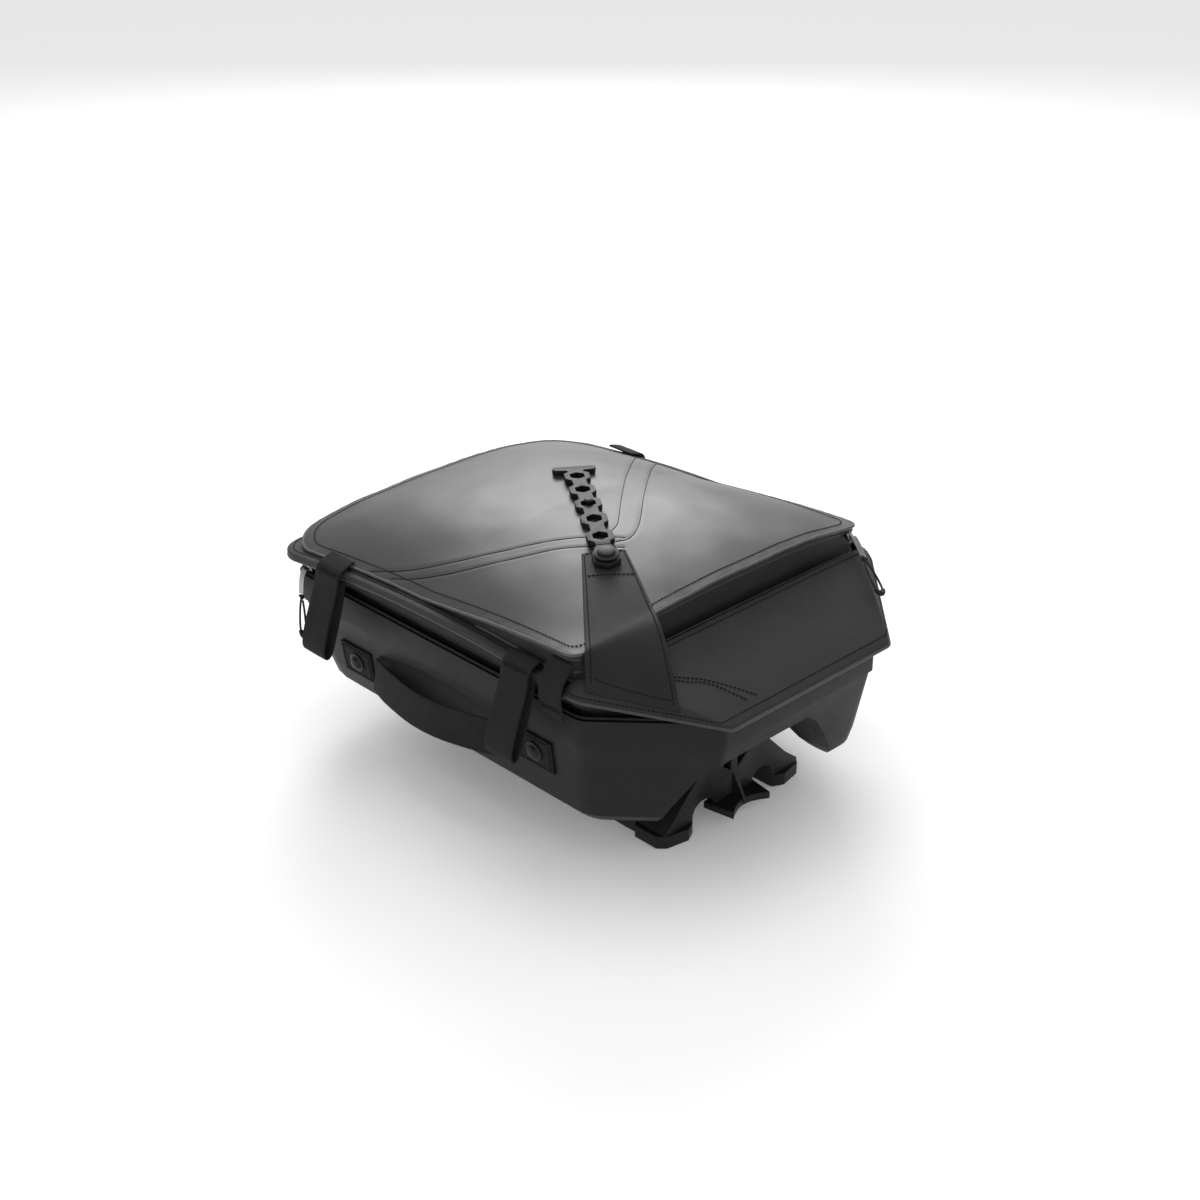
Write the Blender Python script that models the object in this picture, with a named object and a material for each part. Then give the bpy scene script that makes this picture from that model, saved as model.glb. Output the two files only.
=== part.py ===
"""Tail bag: a semi-rigid cargo bag on a quick-attach hook plate.

Metres, +Z up. The origin is the middle of the hook plate's seat, X runs across the bag, +Y runs
from the sloping end panel to the hinged end. Heights of the bag are counted from the crease line
under the tub's rim band, which lies CREASE above the seat.
"""

import math

import bmesh
import bpy
from mathutils import Matrix, Vector

MM = 0.001
GAP = 0.3 * MM
ARC_STEPS = 4
EDGE_STEPS = 5
CORNER_STEPS = ARC_STEPS + EDGE_STEPS
LID_ARC_STEPS = 5

# Tub: moulded lower shell
TUB_DEPTH = 103 * MM
TUB_STAND = 52 * MM
CREASE = TUB_STAND + TUB_DEPTH
TUB_HALF = 205 * MM
TUB_FRONT = -240 * MM
TUB_BACK = 310 * MM
CHAMFER_X = 111 * MM
CHAMFER_Y = -140 * MM
RIM = 31 * MM
TUB_WALL = 4 * MM
PLAN_RADII = [radius * MM for radius in (8, 8, 22, 24, 24, 22)]
BOTTOM_RADII = [radius * MM for radius in (30, 30, 36, 46, 46, 36)]
CREASE_STEP = 3 * MM
FLAP_RADII = [radius * MM for radius in (12, 12, 30, 44, 44, 30)]
DRAFT = 13 * MM
BOTTOM_ROUND = 34 * MM
CHANNEL_HALF = 114 * MM
CHANNEL_ROOF_HALF = 44 * MM
CHANNEL_RISE = 35 * MM
MOUTH_LEFT = (112 * MM, 156 * MM)
MOUTH_RIGHT = (14 * MM, 98 * MM)
MOUTH_RISE = 54 * MM
MOUTH_START = -150 * MM
MOUTH_WIDE = -192 * MM

# Soft band and zip between tub and hood
BAND_INSET = 10 * MM
BAND_WALL = 2.5 * MM
ZIP_HEIGHT = 36 * MM
ZIP_CHAIN = 3.6 * MM

# Hood: storm flap, end panel, lid
FLAP_REACH = 14 * MM
FLAP_WIDTH = 27 * MM
FLAP_THICK = 2.5 * MM
FLAP_FRONT_Z = 36 * MM
FLAP_SIDE_Z = 65 * MM
FLAP_CREST_Z = 77 * MM
FLAP_BACK_Z = 56 * MM
FLAP_CREST_Y = 30 * MM
LID_HALF = 206 * MM
LID_FRONT = -138 * MM
LID_BACK = 314 * MM
LID_THICK = 2.5 * MM
LID_WEDGE = 30 * MM
WEDGE_START = 80 * MM
CROWN_FRONT = 13 * MM
CROWN_MIDDLE = 44 * MM
CROWN_BACK = 22 * MM
CROWN_POWER = 2.6
FLAP_HINGE_Y = 34 * MM
PANEL_TOP_Y = -150 * MM
PANEL_TOP_Z = 79 * MM
PANEL_TOP_HALF = 192 * MM
PANEL_SIDE_HALF = 203 * MM
PANEL_SIDE_Z = 76 * MM
PANEL_RADII = [radius * MM for radius in (8, 8, 10, 44, 44, 10)]
FLOOR_HALF = 190 * MM
FLOOR_FRONT = -131 * MM
WEDGE_END = 8 * MM

# Webbing and straps
WEBBING = 38 * MM
WEBBING_THICK = 2.4 * MM
KEEPER_ROWS = (214 * MM, -76 * MM)
TAB_WIDTH = 30 * MM
TAB_ROW = -121 * MM
HANDLE_RIVETS = ((210 * MM, -48 * MM), (-72 * MM, -33 * MM))
HOLLOW_PLACE = (-205 * MM, 66 * MM, -44 * MM)
HOLLOW_SIZE = (27 * MM, 118 * MM, 33 * MM)
HANDLE_BOW = 22 * MM
RIVET_RADIUS = 11 * MM
PATCH_HALF = 25 * MM
STRAP_ROOT = (-180 * MM, -187 * MM)
STRAP_BUTTON = (-84 * MM, -54 * MM)
STRAP_ROOT_WIDTH = 88 * MM
STRAP_TOP_WIDTH = 44 * MM
STRAP_LENGTH = 184 * MM
STRAP_ROOT_LIFT = 4.8 * MM
STRAP_LIFT = 3 * MM
RUBBER_WIDTH = 27 * MM
RUBBER_NECK = 15 * MM
RUBBER_THICK = 6 * MM
RUBBER_LIFT = 1 * MM
RUBBER_HINGE = 21 * MM
LINK_COUNT = 5
LINK_PITCH = 41 * MM
LINK_HOLE = 9 * MM
POST_LINK = 3
POST_SLACK = 1.2 * MM
TEE_OFFSET = 25 * MM
TEE_WIDTH = 47 * MM
TEE_DEPTH = 14 * MM

# Zip pulls
MAIN_SLIDER_Y = 283 * MM
UPPER_SLIDER = (186 * MM, -141.2 * MM)
SLIDER_DEPTH = 4.6 * MM
CORD_RADIUS = 1.2 * MM
KNOT_RADIUS = 3.4 * MM
LOOP_LENGTH = 44 * MM
LOOP_HALF = 4.6 * MM
LOOP_SIDE = ((0, 0.35), (0.25, 0.8), (0.6, 1.1), (0.9, 0.9))
LOOP_SHAPE = (*LOOP_SIDE, (1.0, 0), *((t, -side) for t, side in LOOP_SIDE[::-1]))
GRIP_SPAN = (19, 27)
GRIP_RADIUS = 2.5 * MM

# Hook plate
PLATE_HALF = 102 * MM
PLATE_FRONT = -150 * MM
PLATE_BACK = 156 * MM
PLATE_RAIL_INNER = 61 * MM
PLATE_WALL = 7 * MM
PLATE_CROWN = 70 * MM
PLATE_SHOULDER = 34 * MM
PLATE_FOOT = 14 * MM
NOTCH_TOP = 33 * MM
MIDDLE_HALF = 28 * MM
MIDDLE_REACH = 32 * MM
MIDDLE_BASE = 13 * MM
MIDDLE_THICK = 8 * MM
SEAT_BAR_HALF = 15 * MM
PRONG_TIP = [(x * MM, y * MM) for x, y in ((61, -152), (62, -157), (74, -163), (100, -158))]
PRONG_TIP += [(x * MM, y * MM) for x, y in ((108, -150), (108, -120), (98, -112), (61, -112))]
LATCH_X = 78 * MM
LATCH_Y = 178 * MM
LATCH_ARM = 64 * MM
LATCH_LEVEL = 20 * MM
LATCH_THICK = 8 * MM
LATCH_PIN = 4 * MM
SCREW_RADIUS = 3 * MM
SCREW_HEAD = 6.5 * MM
SCREWS = [(x * MM, y * MM) for x in (-22, 22) for y in (-95, 105)]

MATERIALS = {
    "moulded_shell": ((0.022, 0.022, 0.023), 0.55, 0.0),
    "soft_band": ((0.02, 0.02, 0.021), 0.85, 0.0),
    "coated_fabric": ((0.12, 0.12, 0.123), 0.42, 0.0),
    "panel_fabric": ((0.04, 0.04, 0.041), 0.7, 0.0),
    "webbing": ((0.014, 0.014, 0.014), 0.9, 0.0),
    "zip_chain": ((0.01, 0.01, 0.01), 0.5, 0.0),
    "zip_metal": ((0.35, 0.35, 0.36), 0.3, 1.0),
    "cord": ((0.012, 0.012, 0.012), 0.8, 0.0),
    "rubber": ((0.012, 0.012, 0.012), 0.5, 0.0),
    "hard_plastic": ((0.015, 0.015, 0.016), 0.4, 0.0),
    "steel": ((0.3, 0.3, 0.31), 0.35, 1.0),
}


# ---------------------------------------------------------------- helpers


def material(name):
    found = bpy.data.materials.get(name)
    if found:
        return found
    made = bpy.data.materials.new(name)
    made.use_nodes = True
    colour, rough, metal = MATERIALS[name]
    shader = made.node_tree.nodes["Principled BSDF"]
    shader.inputs["Base Color"].default_value = (*colour, 1)
    shader.inputs["Roughness"].default_value = rough
    shader.inputs["Metallic"].default_value = metal
    return made


def add_object(name, mesh, slot):
    obj = bpy.data.objects.new(name, mesh)
    bpy.context.scene.collection.objects.link(obj)
    if slot:
        mesh.materials.append(material(slot))
    return obj


def finish_mesh(name, work, slot, smooth=40):
    """A new object from a bmesh, with its faces turned outwards."""
    bmesh.ops.recalc_face_normals(work, faces=work.faces)
    mesh = bpy.data.meshes.new(name)
    work.to_mesh(mesh)
    work.free()
    mesh.shade_smooth()
    mesh.set_sharp_from_angle(angle=math.radians(smooth))
    return add_object(name, mesh, slot)


def loft(name, rings, slot, cyclic=False, raised=True):
    """One skin through rings of equal length, with capped ends unless the last meets the first."""
    work = bmesh.new()
    lift = Vector((0, 0, CREASE if raised else 0))
    rows = [[work.verts.new(Vector(point) + lift) for point in ring] for ring in rings]
    count = len(rings[0])
    for k in range(len(rows) if cyclic else len(rows) - 1):
        here, there = rows[k], rows[(k + 1) % len(rows)]
        for i in range(count):
            j = (i + 1) % count
            work.faces.new((here[i], here[j], there[j], there[i]))
    if not cyclic:
        work.faces.new(rows[0])
        work.faces.new(rows[-1])
    return finish_mesh(name, work, slot)


def cutter(obj):
    obj.hide_render = True
    obj.display_type = "WIRE"
    return obj


def cut(obj, tool, operation="DIFFERENCE"):
    step = obj.modifiers.new(operation.title(), "BOOLEAN")
    step.operation = operation
    step.object = tool
    step.solver = "EXACT"


def inset_corners(corners, inset):
    """Corners of a convex outline moved inwards, one distance for each edge that starts at a corner."""
    count = len(corners)
    moved = []
    for i in range(count):
        before, here, after = (Vector(corners[(i + k) % count]) for k in (-1, 0, 1))
        first, second = (here - before).normalized(), (after - here).normalized()
        first_in = Vector((-first.y, first.x)) * inset[(i - 1) % count]
        second_in = Vector((-second.y, second.x)) * inset[i]
        turn = first.cross(second)
        along = (second_in - first_in).cross(second) / turn
        moved.append(here + first_in + first * along)
    return moved


def fillet(corners, radii, arc=ARC_STEPS, edge=EDGE_STEPS):
    """Outline points: each corner as an arc of `arc` steps, each straight stretch in `edge` steps."""
    count = len(corners)
    arcs = []
    for i in range(count):
        before, here, after = (Vector(corners[(i + k) % count]) for k in (-1, 0, 1))
        first, second = (here - before).normalized(), (after - here).normalized()
        turn = math.acos(max(-1, min(1, first.dot(second))))
        inward = Vector((-first.y, first.x)) * radii[i]
        centre = here - first * radii[i] * math.tan(turn / 2) + inward
        arcs.append([centre - Matrix.Rotation(turn * k / arc, 2) @ inward for k in range(arc + 1)])
    points = []
    for i in range(count):
        points += arcs[i]
        end, start = arcs[i][-1], arcs[(i + 1) % count][0]
        points += [end.lerp(start, k / edge) for k in range(1, edge)]
    return points


def plan(front=0.0, chamfer=0.0, side=0.0, back=0.0, radii=None, **steps):
    """The bag's six-sided outline, each side moved inwards by its own distance."""
    corners = [
        (-CHAMFER_X, TUB_FRONT),
        (CHAMFER_X, TUB_FRONT),
        (TUB_HALF, CHAMFER_Y),
        (TUB_HALF, TUB_BACK),
        (-TUB_HALF, TUB_BACK),
        (-TUB_HALF, CHAMFER_Y),
    ]
    moved = inset_corners(corners, (front, chamfer, side, back, side, chamfer))
    return fillet(moved, radii or PLAN_RADII, **steps)


def even(inset):
    return {"front": inset, "chamfer": inset, "side": inset, "back": inset}


def level(points, height):
    return [(x, y, height) for x, y in points]


def inwards(path, closed):
    """The unit vector that points into the bag at each point of an anticlockwise path."""
    count = len(path)
    found = []
    for i in range(count):
        ahead = path[(i + 1) % count] if closed else path[min(i + 1, count - 1)]
        behind = path[i - 1] if closed else path[max(i - 1, 0)]
        along = (Vector(ahead) - Vector(behind)).normalized()
        found.append(Vector((-along.y, along.x)))
    return found


def wall(name, path, low, high, thick, slot, closed=False):
    """A wall of even thickness on a plan path, between two heights given as functions of y."""
    sections = []
    for point, inward in zip(path, inwards(path, closed)):
        inner = Vector(point) + inward * thick
        outer_edge = [(*point, low(point[1])), (*point, high(point[1]))]
        sections.append([*outer_edge, (*inner, high(inner.y)), (*inner, low(inner.y))])
    return loft(name, sections, slot, cyclic=closed)


def trim(path, gap=GAP):
    """An open path with both of its ends drawn back by a gap."""
    ends = [Vector(path[0]), Vector(path[-1])]
    ends[0] += (Vector(path[1]) - ends[0]).normalized() * gap
    ends[1] += (Vector(path[-2]) - ends[1]).normalized() * gap
    return [ends[0], *path[1:-1], ends[1]]


def curve_through(points, steps=5):
    """A smooth run of points through the given ones."""
    points = [Vector(point) for point in points]
    run = []
    for i in range(len(points) - 1):
        a, b = points[max(i - 1, 0)], points[i]
        c, d = points[i + 1], points[min(i + 2, len(points) - 1)]
        for k in range(steps):
            t = k / steps
            bend = (2 * a - 5 * b + 4 * c - d) * t**2 + (3 * b - a - 3 * c + d) * t**3
            run.append(0.5 * (2 * b + (c - a) * t + bend))
    return run + [points[-1]]


def tangents(path):
    last = len(path) - 1
    return [(path[min(i + 1, last)] - path[max(i - 1, 0)]).normalized() for i in range(last + 1)]


def ribbon(name, path, across, widths, thick, slot):
    """A flat strap along a path; `across` is the direction of its width."""
    across = Vector(across).normalized()
    sections = []
    for i, (point, along) in enumerate(zip(path, tangents(path))):
        half = (widths[i] if isinstance(widths, list) else widths) / 2
        face = along.cross(across).normalized() * thick / 2
        side = face.cross(along).normalized() * half
        corners = (side + face, face - side, -side - face, side - face)
        sections.append([point + corner for corner in corners])
    return loft(name, sections, slot)


def tube(name, path, radius, slot, sides=8, bore=None):
    """A round tube along a path, solid or with a bore."""
    path = [Vector(point) for point in path]
    along = tangents(path)
    normal = along[0].orthogonal().normalized()
    outer, inner = [], []
    for point, direction in zip(path, along):
        normal = (normal - direction * normal.dot(direction)).normalized()
        other = direction.cross(normal)
        angles = [2 * math.pi * k / sides for k in range(sides)]
        around = [math.cos(angle) * normal + math.sin(angle) * other for angle in angles]
        outer.append([point + radius * way for way in around])
        inner.append([point + (bore or 0) * way for way in around])
    if not bore:
        return loft(name, outer, slot)
    return loft(name, outer + inner[::-1], slot, cyclic=True)


def turned(name, profile, place, axis, slot, sides=20):
    """A round piece: (radius, height) pairs turned about an axis through `place`."""
    turn = Vector((0, 0, 1)).rotation_difference(Vector(axis).normalized()).to_matrix()
    angles = [2 * math.pi * k / sides for k in range(sides)]
    rings = []
    for radius, height in profile:
        ring = [Vector((radius * math.cos(angle), radius * math.sin(angle), height)) for angle in angles]
        rings.append([Vector(place) + turn @ point for point in ring])
    return loft(name, rings, slot)


def prism(name, outline, low, high, slot, frame=None):
    """An outline pushed from one height to another, in the given frame."""
    frame = frame or Matrix.Identity(4)
    rings = [[frame @ Vector((u, v, height)) for u, v in outline] for height in (low, high)]
    return loft(name, rings, slot)


def sheet(name, outline, top, thick, slot, spacing=45 * MM):
    """A sheet of even thickness over a plan outline, whose upper side follows top(x, y)."""
    work = bmesh.new()
    face = work.faces.new([work.verts.new((x, y, 0)) for x, y in outline])
    raised = bmesh.ops.extrude_face_region(work, geom=[face])["geom"]
    for vertex in (v for v in raised if isinstance(v, bmesh.types.BMVert)):
        vertex.co.z = thick
    for axis in (0, 1):
        values = [point[axis] for point in outline]
        middle, span = (min(values) + max(values)) / 2, max(values) - min(values)
        count = max(1, round(span / spacing))
        for k in range(1, count):
            place, normal = Vector(), Vector()
            place[axis] = middle - span / 2 + span * k / count
            normal[axis] = 1
            geometry = work.verts[:] + work.edges[:] + work.faces[:]
            bmesh.ops.bisect_plane(work, geom=geometry, plane_co=place, plane_no=normal)
    for vertex in work.verts:
        upper = vertex.co.z > thick / 2
        vertex.co.z = CREASE + top(vertex.co.x, vertex.co.y) - (0 if upper else thick)
    return finish_mesh(name, work, slot)


# ---------------------------------------------------------------- shared frames and heights

ACROSS_XZ = Matrix(((1, 0, 0, 0), (0, 0, 1, 0), (0, 1, 0, 0), (0, 0, 0, 1)))
ALONG_YZ = Matrix(((0, 0, 1, 0), (1, 0, 0, 0), (0, 1, 0, 0), (0, 0, 0, 1)))
PLATE_STATIONS = 6
CHANNEL_STATIONS = [PLATE_HALF * k / PLATE_STATIONS for k in range(-10, 11)]

def flap_height(y):
    """Upper side of the storm flap along the bag."""
    if y < CHAMFER_Y:
        share = (y - CHAMFER_Y) / (TUB_FRONT - FLAP_REACH - CHAMFER_Y)
        return FLAP_SIDE_Z + (FLAP_FRONT_Z - FLAP_SIDE_Z) * share
    end, fall = (CHAMFER_Y, FLAP_SIDE_Z) if y < FLAP_CREST_Y else (TUB_BACK + FLAP_REACH, FLAP_BACK_Z)
    return FLAP_CREST_Z + (fall - FLAP_CREST_Z) * ((y - FLAP_CREST_Y) / (end - FLAP_CREST_Y)) ** 2


def flap_under(y):
    return flap_height(y) - FLAP_THICK


def wedge(y):
    """How far the lid's side stands over the flap where the upper pocket opens."""
    share = max(0.0, (WEDGE_START - y) / (WEDGE_START - LID_FRONT))
    return LID_WEDGE * share**1.2


def lid_height(x, y):
    """Upper side of the lid."""
    middle = WEDGE_START
    end, crown = (LID_FRONT, CROWN_FRONT) if y < middle else (LID_BACK, CROWN_BACK)
    rise = CROWN_MIDDLE + (crown - CROWN_MIDDLE) * ((y - middle) / (end - middle)) ** 2
    return flap_height(y) + GAP + LID_THICK + wedge(y) + rise * (1 - abs(x / LID_HALF) ** CROWN_POWER)


def soft(share):
    """A share of 0 to 1, eased at both ends."""
    share = max(0.0, min(1.0, share))
    return share * share * (3 - 2 * share)


def channel_height(x, offset=0.0, y=0.0):
    """Roof of the channel under the tub, which rises to a mouth at the end panel.

    The mouth opens wide on the handle's side, where a hand reaches in, and stays narrow on the other.
    """
    wide = soft((MOUTH_START - y) / (MOUTH_START - MOUTH_WIDE))
    mouth_roof, mouth = MOUTH_LEFT if x < 0 else MOUTH_RIGHT
    half = CHANNEL_HALF + (mouth - CHANNEL_HALF) * wide
    roof_half = CHANNEL_ROOF_HALF + (mouth_roof - CHANNEL_ROOF_HALF) * wide
    along = max(0.0, min(1.0, (MOUTH_START - y) / (MOUTH_START - TUB_FRONT)))
    rise = CHANNEL_RISE + MOUTH_RISE * math.sin(along * math.pi / 2)
    return -TUB_DEPTH - 2 * MM + rise * soft((half + offset - abs(x)) / (half - roof_half)) + offset


# ---------------------------------------------------------------- tub and soft band


def channel_space(name, offset):
    """The space of the channel, open below, through the whole length of the tub."""
    outer, floor, far = CHANNEL_STATIONS[-1], -400 * MM, 400 * MM
    rings = []
    for y in (-far, *(TUB_FRONT + (MOUTH_START - TUB_FRONT) * k / 8 for k in range(9)), far):
        roof = [(x, y, channel_height(x, offset, y)) for x in CHANNEL_STATIONS]
        rings.append([*roof, (outer, y, floor), (-outer, y, floor)])
    return loft(name, rings, None)


def tub_shell(name, wall_thick, slot, top):
    """Outer body of the tub, or the space inside its wall, as rings from the bottom up."""
    rings = []
    for step in range(4):
        turn = math.pi / 2 * step / 3
        inset = DRAFT + BOTTOM_ROUND * (1 - math.sin(turn)) + wall_thick
        above = BOTTOM_ROUND * (1 - math.cos(turn))
        rings.append(level(plan(**even(inset), radii=BOTTOM_RADII), -TUB_DEPTH + above + wall_thick))
    rings.append(level(plan(**even(CREASE_STEP + wall_thick)), -1 * MM))
    rings.append(level(plan(**even(wall_thick)), 1 * MM))
    rings.append(level(plan(**even(wall_thick)), top))
    return loft(name, rings, slot)


def handle_hollow(name, grow):
    """The scooped hollow behind the grab handle."""
    work = bmesh.new()
    bmesh.ops.create_uvsphere(work, u_segments=20, v_segments=10, radius=1)
    size = Vector(HOLLOW_SIZE) + Vector((grow, grow, grow))
    for vertex in work.verts:
        vertex.co = Vector(HOLLOW_PLACE) + size * vertex.co + Vector((0, 0, CREASE))
    return finish_mesh(name, work, None)


def build_tub():
    tub = tub_shell("base_tub", 0.0, "moulded_shell", RIM)
    channel, ridge = channel_space("channel_space", 0.0), channel_space("channel_ridge", TUB_WALL)
    room = tub_shell("tub_room", TUB_WALL, None, RIM + 20 * MM)
    cut(room, ridge)
    cut(room, handle_hollow("hollow_skin", TUB_WALL))
    cut(tub, channel)
    cut(tub, handle_hollow("hollow_space", 0.0))
    cut(tub, room)
    for helper in (channel, ridge, room, bpy.data.objects["hollow_skin"], bpy.data.objects["hollow_space"]):
        cutter(helper)
    return tub


def build_band():
    """Soft gusset below and above the main zip, and the zip's chain round three sides."""
    path = plan(**even(BAND_INSET))
    half_chain = ZIP_CHAIN / 2

    def chain_low(y):
        return ZIP_HEIGHT - half_chain

    def chain_top(y):
        return ZIP_HEIGHT + half_chain

    def lower_seam(y):
        return chain_low(y) - GAP

    def upper_seam(y):
        return chain_top(y) + GAP

    def under_flap(y):
        return flap_under(y) - GAP

    wall("gusset_lower", path, lambda y: RIM + GAP, lower_seam, BAND_WALL, "soft_band", True)
    wall("gusset_upper", path, upper_seam, under_flap, BAND_WALL, "soft_band", True)
    chain_path = trim(run_over_front(path), 2 * MM)
    wall("main_zip_chain", chain_path, chain_low, chain_top, BAND_WALL, "zip_chain")
    hinge_path = trim(run_over_back(path)[CORNER_STEPS:-CORNER_STEPS])
    wall("hood_hinge_tape", hinge_path, chain_low, chain_top, BAND_WALL / 2, "soft_band")


def run_over_front(path):
    """The part of a plan outline from the hinged end's left corner, round the front, to its right one."""
    return path[4 * CORNER_STEPS + ARC_STEPS :] + path[: 3 * CORNER_STEPS + 1]


def run_round_panel(path):
    """The part of a plan outline that the end panel spans, its two chamfers included."""
    return path[5 * CORNER_STEPS :] + path[: 2 * CORNER_STEPS + EDGE_STEPS]


def run_over_back(path):
    """The part of a plan outline that the storm flap spans: both sides and the hinged end."""
    return path[2 * CORNER_STEPS + ARC_STEPS : 5 * CORNER_STEPS + 1]


# ---------------------------------------------------------------- hood


def build_flap_and_panel():
    edge = plan(**even(-FLAP_REACH), radii=FLAP_RADII)
    flap_run = trim(run_over_back(edge))
    wall("storm_flap", flap_run, flap_under, flap_height, FLAP_WIDTH, "panel_fabric")
    top_corners = [
        (-PANEL_TOP_HALF, PANEL_TOP_Y),
        (PANEL_TOP_HALF, PANEL_TOP_Y),
        (PANEL_SIDE_HALF, CHAMFER_Y),
        (PANEL_SIDE_HALF, TUB_BACK),
        (-PANEL_SIDE_HALF, TUB_BACK),
        (-PANEL_SIDE_HALF, CHAMFER_Y),
    ]
    upper = trim(run_round_panel(fillet(top_corners, PANEL_RADII)))
    lower = trim(run_round_panel(edge))
    sections = []
    for (x, y), (u, v) in zip(lower, upper):
        share = max(0.0, min(1.0, (v - CHAMFER_Y) / (PANEL_TOP_Y - CHAMFER_Y)))
        top = PANEL_SIDE_Z + (PANEL_TOP_Z - PANEL_SIDE_Z) * share
        low = flap_height(y)
        sections.append([(x, y, low - FLAP_THICK), (x, y, low), (u, v, top), (u, v, top - FLAP_THICK)])
    loft("end_panel", sections, "panel_fabric")


def lid_outline(front, back, front_radius=0.0, back_radius=0.0, half=LID_HALF):
    """A rectangle in plan, anticlockwise from its front left corner, with rounded ends."""
    corners = [(-half, front), (half, front), (half, back), (-half, back)]
    radii = (front_radius, front_radius, back_radius, back_radius)
    points = []
    for number, (corner, radius) in enumerate(zip(corners, radii)):
        if not radius:
            points.append(Vector(corner))
            continue
        way = Vector(((-1, -1), (1, -1), (1, 1), (-1, 1))[number])
        centre = Vector(corner) - way * radius
        for k in range(LID_ARC_STEPS + 1):
            angle = math.pi / 2 * (number - 2 + k / LID_ARC_STEPS)
            points.append(centre + radius * Vector((math.cos(angle), math.sin(angle))))
    return points


def build_lid():
    front = lid_outline(LID_FRONT, FLAP_HINGE_Y - GAP, front_radius=14 * MM)
    sheet("lid_front", front, lid_height, LID_THICK, "coated_fabric")
    back = lid_outline(FLAP_HINGE_Y + GAP, LID_BACK, back_radius=48 * MM)
    sheet("lid_rear", back, lid_height, LID_THICK, "coated_fabric")
    floor_outline = lid_outline(FLOOR_FRONT, TUB_BACK - 16 * MM, 20 * MM, 36 * MM, half=FLOOR_HALF)
    sheet("pocket_floor", floor_outline, floor_height, 3 * MM, "panel_fabric")
    corners = [(-LID_HALF, LID_FRONT), (LID_HALF, LID_FRONT), (LID_HALF, LID_BACK), (-LID_HALF, LID_BACK)]
    side_steps = 12
    rim = fillet(corners, [14 * MM] * 4, edge=side_steps)
    turn = ARC_STEPS + side_steps
    rim = [point for point in rim[3 * turn :] + rim[: 2 * turn] if point.y < WEDGE_END]
    inner = [Vector(point) + inward * 3 * MM for point, inward in zip(rim, inwards(rim, False))]
    wall("pocket_wall", inner, wall_low, wall_high, 2 * MM, "panel_fabric")
    wall("pocket_zip_chain", inner, lambda y: wall_high(y) + GAP, chain_high, 2 * MM, "zip_chain")


def floor_height(x, y):
    rise = (lid_height(0, y) - lid_height(LID_HALF, y)) * 0.45
    return flap_height(y) - 1 * MM + rise * (1 - (x / FLOOR_HALF) ** 2)


def wall_low(y):
    return flap_height(y) + GAP


def wall_high(y):
    return wall_low(y) + (wedge(y) - GAP) * 0.7


def chain_high(y):
    return wall_low(y) + wedge(y) - 2 * GAP


def build_lid_post():
    """Post on the lid that holds one link of the rubber strap."""
    button = (Vector(STRAP_BUTTON) - Vector(STRAP_ROOT)).length
    x, y = strap_place(button + POST_LINK * LINK_PITCH - POST_SLACK)
    base = lid_height(x, y) + 2 * GAP
    profile = [(7, 0), (7, 1), (3, 2), (3, 8), (4.8, 8.8), (4.8, 10.4), (3, 11.4)]
    turned("lid_post", [(r * MM, h * MM) for r, h in profile], (x, y, base), (0, 0, 1), "hard_plastic")


# ---------------------------------------------------------------- straps


def build_keeper(name, side, y):
    """A webbing loop that wraps the storm flap and folds back up behind itself."""
    edge = TUB_HALF + FLAP_REACH
    over = flap_height(y)
    start = (edge - 16 * MM, over + 8.5 * MM) if wedge(y) < 5 * MM else (edge - 11.5 * MM, over + 5 * MM)
    route = [
        start,
        (edge - 5 * MM, over + 5.5 * MM),
        (edge + 5.5 * MM, over - 0.5 * MM),
        (edge + 11 * MM, over - 22 * MM),
        (edge + 25 * MM, over - 58 * MM),
        (edge + 31 * MM, over - 80 * MM),
        (edge + 28 * MM, over - 89 * MM),
        (edge + 21 * MM, over - 84 * MM),
        (edge + 13 * MM, over - 62 * MM),
        (edge + 4 * MM, over - 34 * MM),
        (edge - 3 * MM, over - 6.5 * MM),
    ]
    path = curve_through([(side * x, y, z) for x, z in route], steps=3)
    return ribbon(name, path, (0, 1, 0), WEBBING, WEBBING_THICK, "webbing")


def build_corner_tab():
    """A short tab folded over the flap beside the corner."""
    edge = TUB_HALF + FLAP_REACH
    y = TAB_ROW
    over = flap_height(y)
    route = [
        (edge - 12 * MM, over + 22 * MM),
        (edge - 6 * MM, over + 16 * MM),
        (edge + 2 * MM, over + 5 * MM),
        (edge + 5 * MM, over - 10 * MM),
        (edge + 2 * MM, over - 32 * MM),
    ]
    path = curve_through([(-x, y, z) for x, z in route], steps=3)
    return ribbon("corner_tab", path, (0, 1, 0), TAB_WIDTH, WEBBING_THICK, "webbing")


def build_handle():
    """Webbing grab handle that bows out from two riveted ends."""
    (rear_y, rear_z), (front_y, front_z) = HANDLE_RIVETS
    run = front_y - rear_y
    drops = ((0.13, 4, 0), (0.24, 13, 1), (0.42, 21, 3), (0.58, 21, 3), (0.77, 13, 1), (0.88, 4, 0))
    route = []
    for share, out, low in drops:
        z = rear_z + (front_z - rear_z) * share
        x = 0.2 * MM - side_skin(z + WEBBING / 2) - HANDLE_BOW * out / 21
        route.append((x, rear_y + run * share, z - low * MM))
    path = curve_through(route, steps=4)
    return ribbon("side_handle", path, (0.154, 0, 1), WEBBING, WEBBING_THICK, "webbing")


def side_skin(z):
    """Half width of the tub's straight side at a height under the crease."""
    share = min(1.0, max(0.0, (-z - 1 * MM) / (TUB_DEPTH - BOTTOM_ROUND - 1 * MM)))
    return TUB_HALF - CREASE_STEP - (DRAFT - CREASE_STEP) * share


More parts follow.
